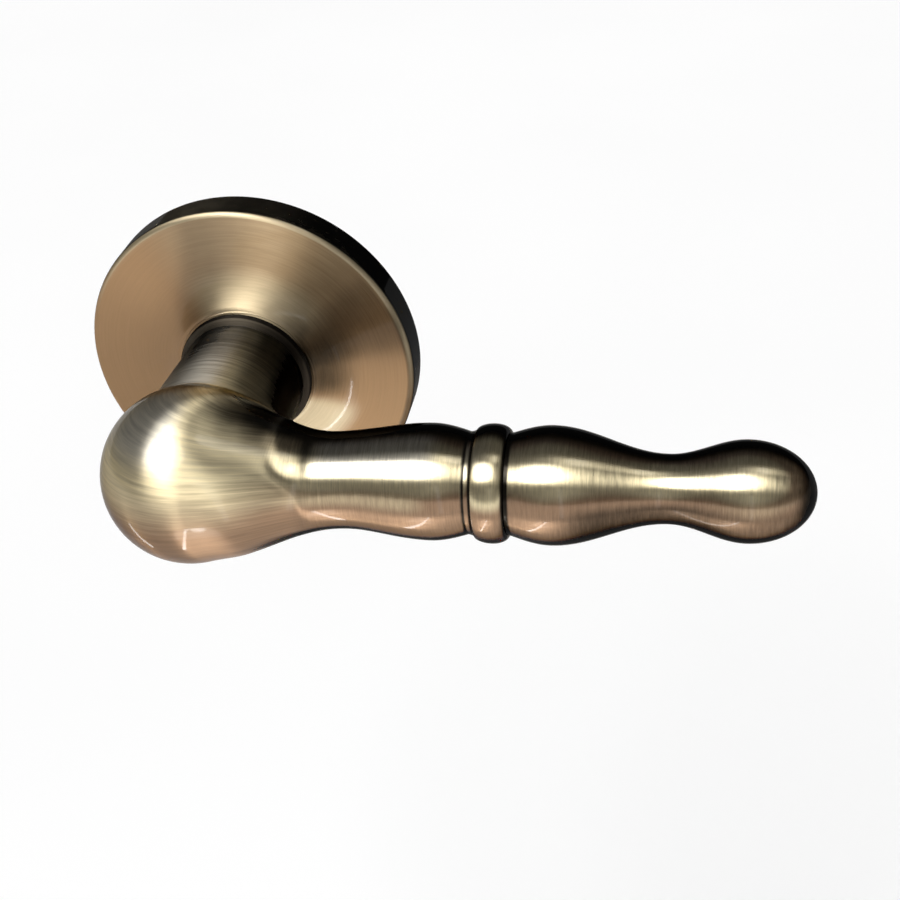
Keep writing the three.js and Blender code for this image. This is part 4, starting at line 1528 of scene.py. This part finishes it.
@dataclass
class Washer:
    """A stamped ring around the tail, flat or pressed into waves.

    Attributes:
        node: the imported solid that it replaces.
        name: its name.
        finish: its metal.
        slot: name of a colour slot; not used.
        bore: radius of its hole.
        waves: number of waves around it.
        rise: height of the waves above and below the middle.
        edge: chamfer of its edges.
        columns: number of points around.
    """

    node: str
    name: str
    finish: PlainMetal
    slot: str
    bore: float = 7.48
    waves: int = 0
    rise: float = 0.0
    edge: float = 0.08
    columns: int = 144

    def build(self) -> bpy.types.Object:
        """Makes the washer.

        Its depth changes around it by the rise times the cosine of the waves' turn.

        Returns:
            The washer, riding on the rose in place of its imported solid.
        """
        low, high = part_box(self.node)
        outer, top, bottom = high[0] / MM, -low[1] / MM - self.rise, -high[1] / MM + self.rise
        section = np.array([
            (self.bore, bottom + self.edge), (self.bore, top - self.edge),
            (self.bore + self.edge, top), (outer - self.edge, top),
            (outer, top - self.edge), (outer, bottom + self.edge),
            (outer - self.edge, bottom), (self.bore + self.edge, bottom),
        ])
        lattice = revolved(section, self.columns)
        lattice.points[..., 1] += self.rise * np.cos(self.waves * around(self.columns))
        piece = skin_mesh(self.name, lattice, crease=30)
        piece.data.materials.append(self.finish.material())
        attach(piece, "rose")
        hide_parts(self.node)
        return piece


# ---- Carried-over solids -------------------------------------------------------------------------


@dataclass
class Fittings:
    """The solids whose shape is right as it is, and the finish that each takes."""

    finishes: dict[str, PlainMetal] = field(default_factory=lambda: {
        "spindle": ZINC_PLATE,
        "grub_screw": BLACK_OXIDE,
        "mounting_plate": CAST_ZINC,
        "cover_snap_ring": SPRING_STEEL,
        "neck_bush": NYLON,
        "spring_driver": STEEL,
        "return_spring_right": SPRING_STEEL,
        "return_spring_left": SPRING_STEEL,
        "spring_cover": ZINC_PLATE,
        "retaining_clip": SPRING_STEEL,
        **{f"case_screw_{number}": YELLOW_ZINC for number in range(1, 5)},
    })

    def dress(self, nodes: dict[str, bpy.types.Object]) -> None:
        """Puts each finish on its solids, one material for all the solids that share it.

        Args:
            nodes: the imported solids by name.
        """
        for name, finish in self.finishes.items():
            slots = nodes[name].data.materials
            slots.clear()
            slots.append(finish.material())
            log.info("dressed %s in %s", name, finish.name)


# ---- Studio --------------------------------------------------------------------------------------


@dataclass(frozen=True)
class SoftLamp:
    """A distant soft lamp.

    Attributes:
        across: how far to the right it stands, as a part of a unit direction.
        height: degrees above the horizon, seen from the side.
        spread: degrees across its disc.
        strength: the light's strength.
    """

    across: float
    height: float
    spread: float
    strength: float

    def hang(self, name: str) -> None:
        """Hangs the lamp and points it at the handle.

        Args:
            name: the lamp's name.
        """
        light = bpy.data.lights.new(name, "SUN")
        light.energy = self.strength
        light.angle = math.radians(self.spread)
        rise, rest = math.radians(self.height), math.sqrt(1 - self.across ** 2)
        source = Vector((self.across, -rest * math.cos(rise), rest * math.sin(rise)))
        lamp = placed(name, light)
        lamp.rotation_mode = "QUATERNION"
        lamp.rotation_quaternion = source.to_track_quat("Z", "Y")


@dataclass(frozen=True)
class NarrowLamp:
    """A near lamp, which shows as a glint in the lacquer but not to the camera.

    Attributes:
        name: the lamp's name.
        place: its middle in millimetres.
        sides: its two sides in millimetres.
        watts: its power.
        tilt: degrees that it is tipped from facing down.
        turn: degrees that it is then turned about the vertical.
    """

    name: str
    place: Triple
    sides: Pair
    watts: float
    tilt: float
    turn: float

    def hang(self) -> None:
        """Hangs the lamp in its place."""
        glow = bpy.data.lights.new(self.name, "AREA")
        glow.shape = "RECTANGLE"
        glow.size, glow.size_y = (side * MM for side in self.sides)
        glow.energy = self.watts
        lamp = placed(self.name, glow)
        lamp.location = Vector(self.place) * MM
        lamp.rotation_euler = (math.radians(self.tilt), 0.0, math.radians(self.turn))
        lamp.visible_camera = False


@dataclass
class Studio:
    """Pale floor, soft lamps and the camera.

    Attributes:
        azimuth: turn of the camera around the handle in degrees, from straight in front.
        elevation: degrees above the horizon.
        roll: degrees by which the camera leans to its left.
        distance: millimetres from the aim to the camera.
        aim_right: millimetres that the aim lies to the right of the spindle's axis in the view.
        aim_up: millimetres that it lies above it.
        aim_depth: depth of the point on the axis that the aim is measured from.
        lens: focal length in millimetres, on a sensor 36 mm wide.
        floor_height: height of the floor in millimetres.
        floor_side: length of the floor's side in millimetres.
        floor_colour: colour of the floor.
        air: colour of the room's even light.
        keys: the soft lamps that light the handle.
        glints: the lamps that only show as glints: two below in front, one below to the left,
            and one that stands upright in front and faces the handle.
    """

    azimuth: float = 12.88
    elevation: float = 34.46
    roll: float = -5.80
    distance: float = 250.0
    aim_right: float = 42.87
    aim_up: float = -3.83
    aim_depth: float = 30.0
    lens: float = 54.487
    floor_height: float = -350.0
    floor_side: float = 16000.0
    floor_colour: Colour = (0.98, 0.98, 0.98)
    air: Colour = (0.14, 0.14, 0.14)
    keys: tuple[SoftLamp, ...] = (
        SoftLamp(-0.42, 57.5, 36.0, 1.55),
        SoftLamp(-0.16, 57.5, 36.0, 1.5),
        SoftLamp(0.32, 85.0, 16.0, 0.3),
    )
    glints: tuple[NarrowLamp, ...] = (
        NarrowLamp("strip", (-25.0, -298.0, -300.0), (15.0, 320.0), 0.28, 180.0, 12.4),
        NarrowLamp("glow", (-32.0, -370.0, -320.0), (120.0, 160.0), 0.12, 180.0, 0.0),
        NarrowLamp("side", (-300.0, -110.0, -300.0), (230.0, 22.0), 0.13, 180.0, 18.0),
        NarrowLamp("post", (155.0, -630.0, 0.0), (40.0, 660.0), 0.16, 90.0,
                   math.degrees(math.atan2(155.0, 630.0))),
    )

    def floor(self) -> None:
        """A wide pale floor, far enough below the handle that its shadow stays soft."""
        half, height = self.floor_side / 2 * MM, self.floor_height * MM
        corners = [(x * half, y * half, height) for x, y in ((-1, -1), (1, -1), (1, 1), (-1, 1))]
        mesh = bpy.data.meshes.new("floor")
        mesh.from_pydata(corners, [], [(0, 1, 2, 3)])
        graph = Graph("pale floor")
        mottle = graph.between(graph.noise(graph.place(), 3.0, 2.0), 0.2, 0.8, 0.99, 1.01)
        graph.dress(Base_Color=graph.scaled(self.floor_colour, mottle), Roughness=0.9,
                    Specular_IOR_Level=0.1)
        mesh.materials.append(graph.material)
        floor = placed("floor", mesh)

    def lamps(self) -> None:
        """The room's even light, the soft keys and the lamps for the glints."""
        world = bpy.data.worlds.new("studio")
        world.use_nodes = True
        world.node_tree.nodes["Background"].inputs["Color"].default_value = (*self.air, 1.0)
        bpy.context.scene.world = world
        for number, key in enumerate(self.keys, start=1):
            key.hang(f"key_{number}")
        for glint in self.glints:
            glint.hang()

    def camera(self) -> None:
        """The camera in front, above and slightly to the right of the handle."""
        a, e, lean = map(math.radians, (self.azimuth, self.elevation, self.roll))
        back = Vector((math.sin(a) * math.cos(e), -math.cos(a) * math.cos(e), math.sin(e)))
        level = Vector((math.cos(a), math.sin(a), 0.0))
        rise = back.cross(level)
        right = level * math.cos(lean) + rise * math.sin(lean)
        up = rise * math.cos(lean) - level * math.sin(lean)
        aim = Vector((0.0, -self.aim_depth, 0.0)) + right * self.aim_right + up * self.aim_up
        place = (aim + back * self.distance) * MM
        camera = placed("camera", bpy.data.cameras.new("camera"))
        camera.data.lens = self.lens
        camera.data.clip_start = 0.01
        turn = Matrix((right, up, back)).transposed()
        camera.matrix_world = Matrix.Translation(place) @ turn.to_4x4()
        bpy.context.scene.camera = camera

    def build(self) -> None:
        """Sets the whole studio up."""
        self.floor()
        self.lamps()
        self.camera()
        bpy.context.scene.view_settings.view_transform = "Standard"


# ---- Assembly ------------------------------------------------------------------------------------


def main() -> None:
    """Builds the handle piece by piece around its solids, and the studio around it."""
    logging.basicConfig(level=logging.INFO, format="%(name)s: %(message)s", stream=sys.stdout)
    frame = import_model()
    washers = (Washer("thrust_washer", "thrust_ring", STEEL, "plain_steel"),
               Washer("wave_washer", "wave_ring", SPRING_STEEL, "spring_steel", waves=3, rise=0.25))
    fasteners = (BoltPost(1), BoltPost(2), WoodScrew(1), WoodScrew(2))
    for part in (Lever(), Rose(), Collar(), *washers, *fasteners):
        piece = part.build()
        log.info("built %s with %d faces", piece.name, len(piece.data.polygons))
    Fittings().dress(frame["nodes"])
    Studio().build()


if __name__ == "__main__":
    main()
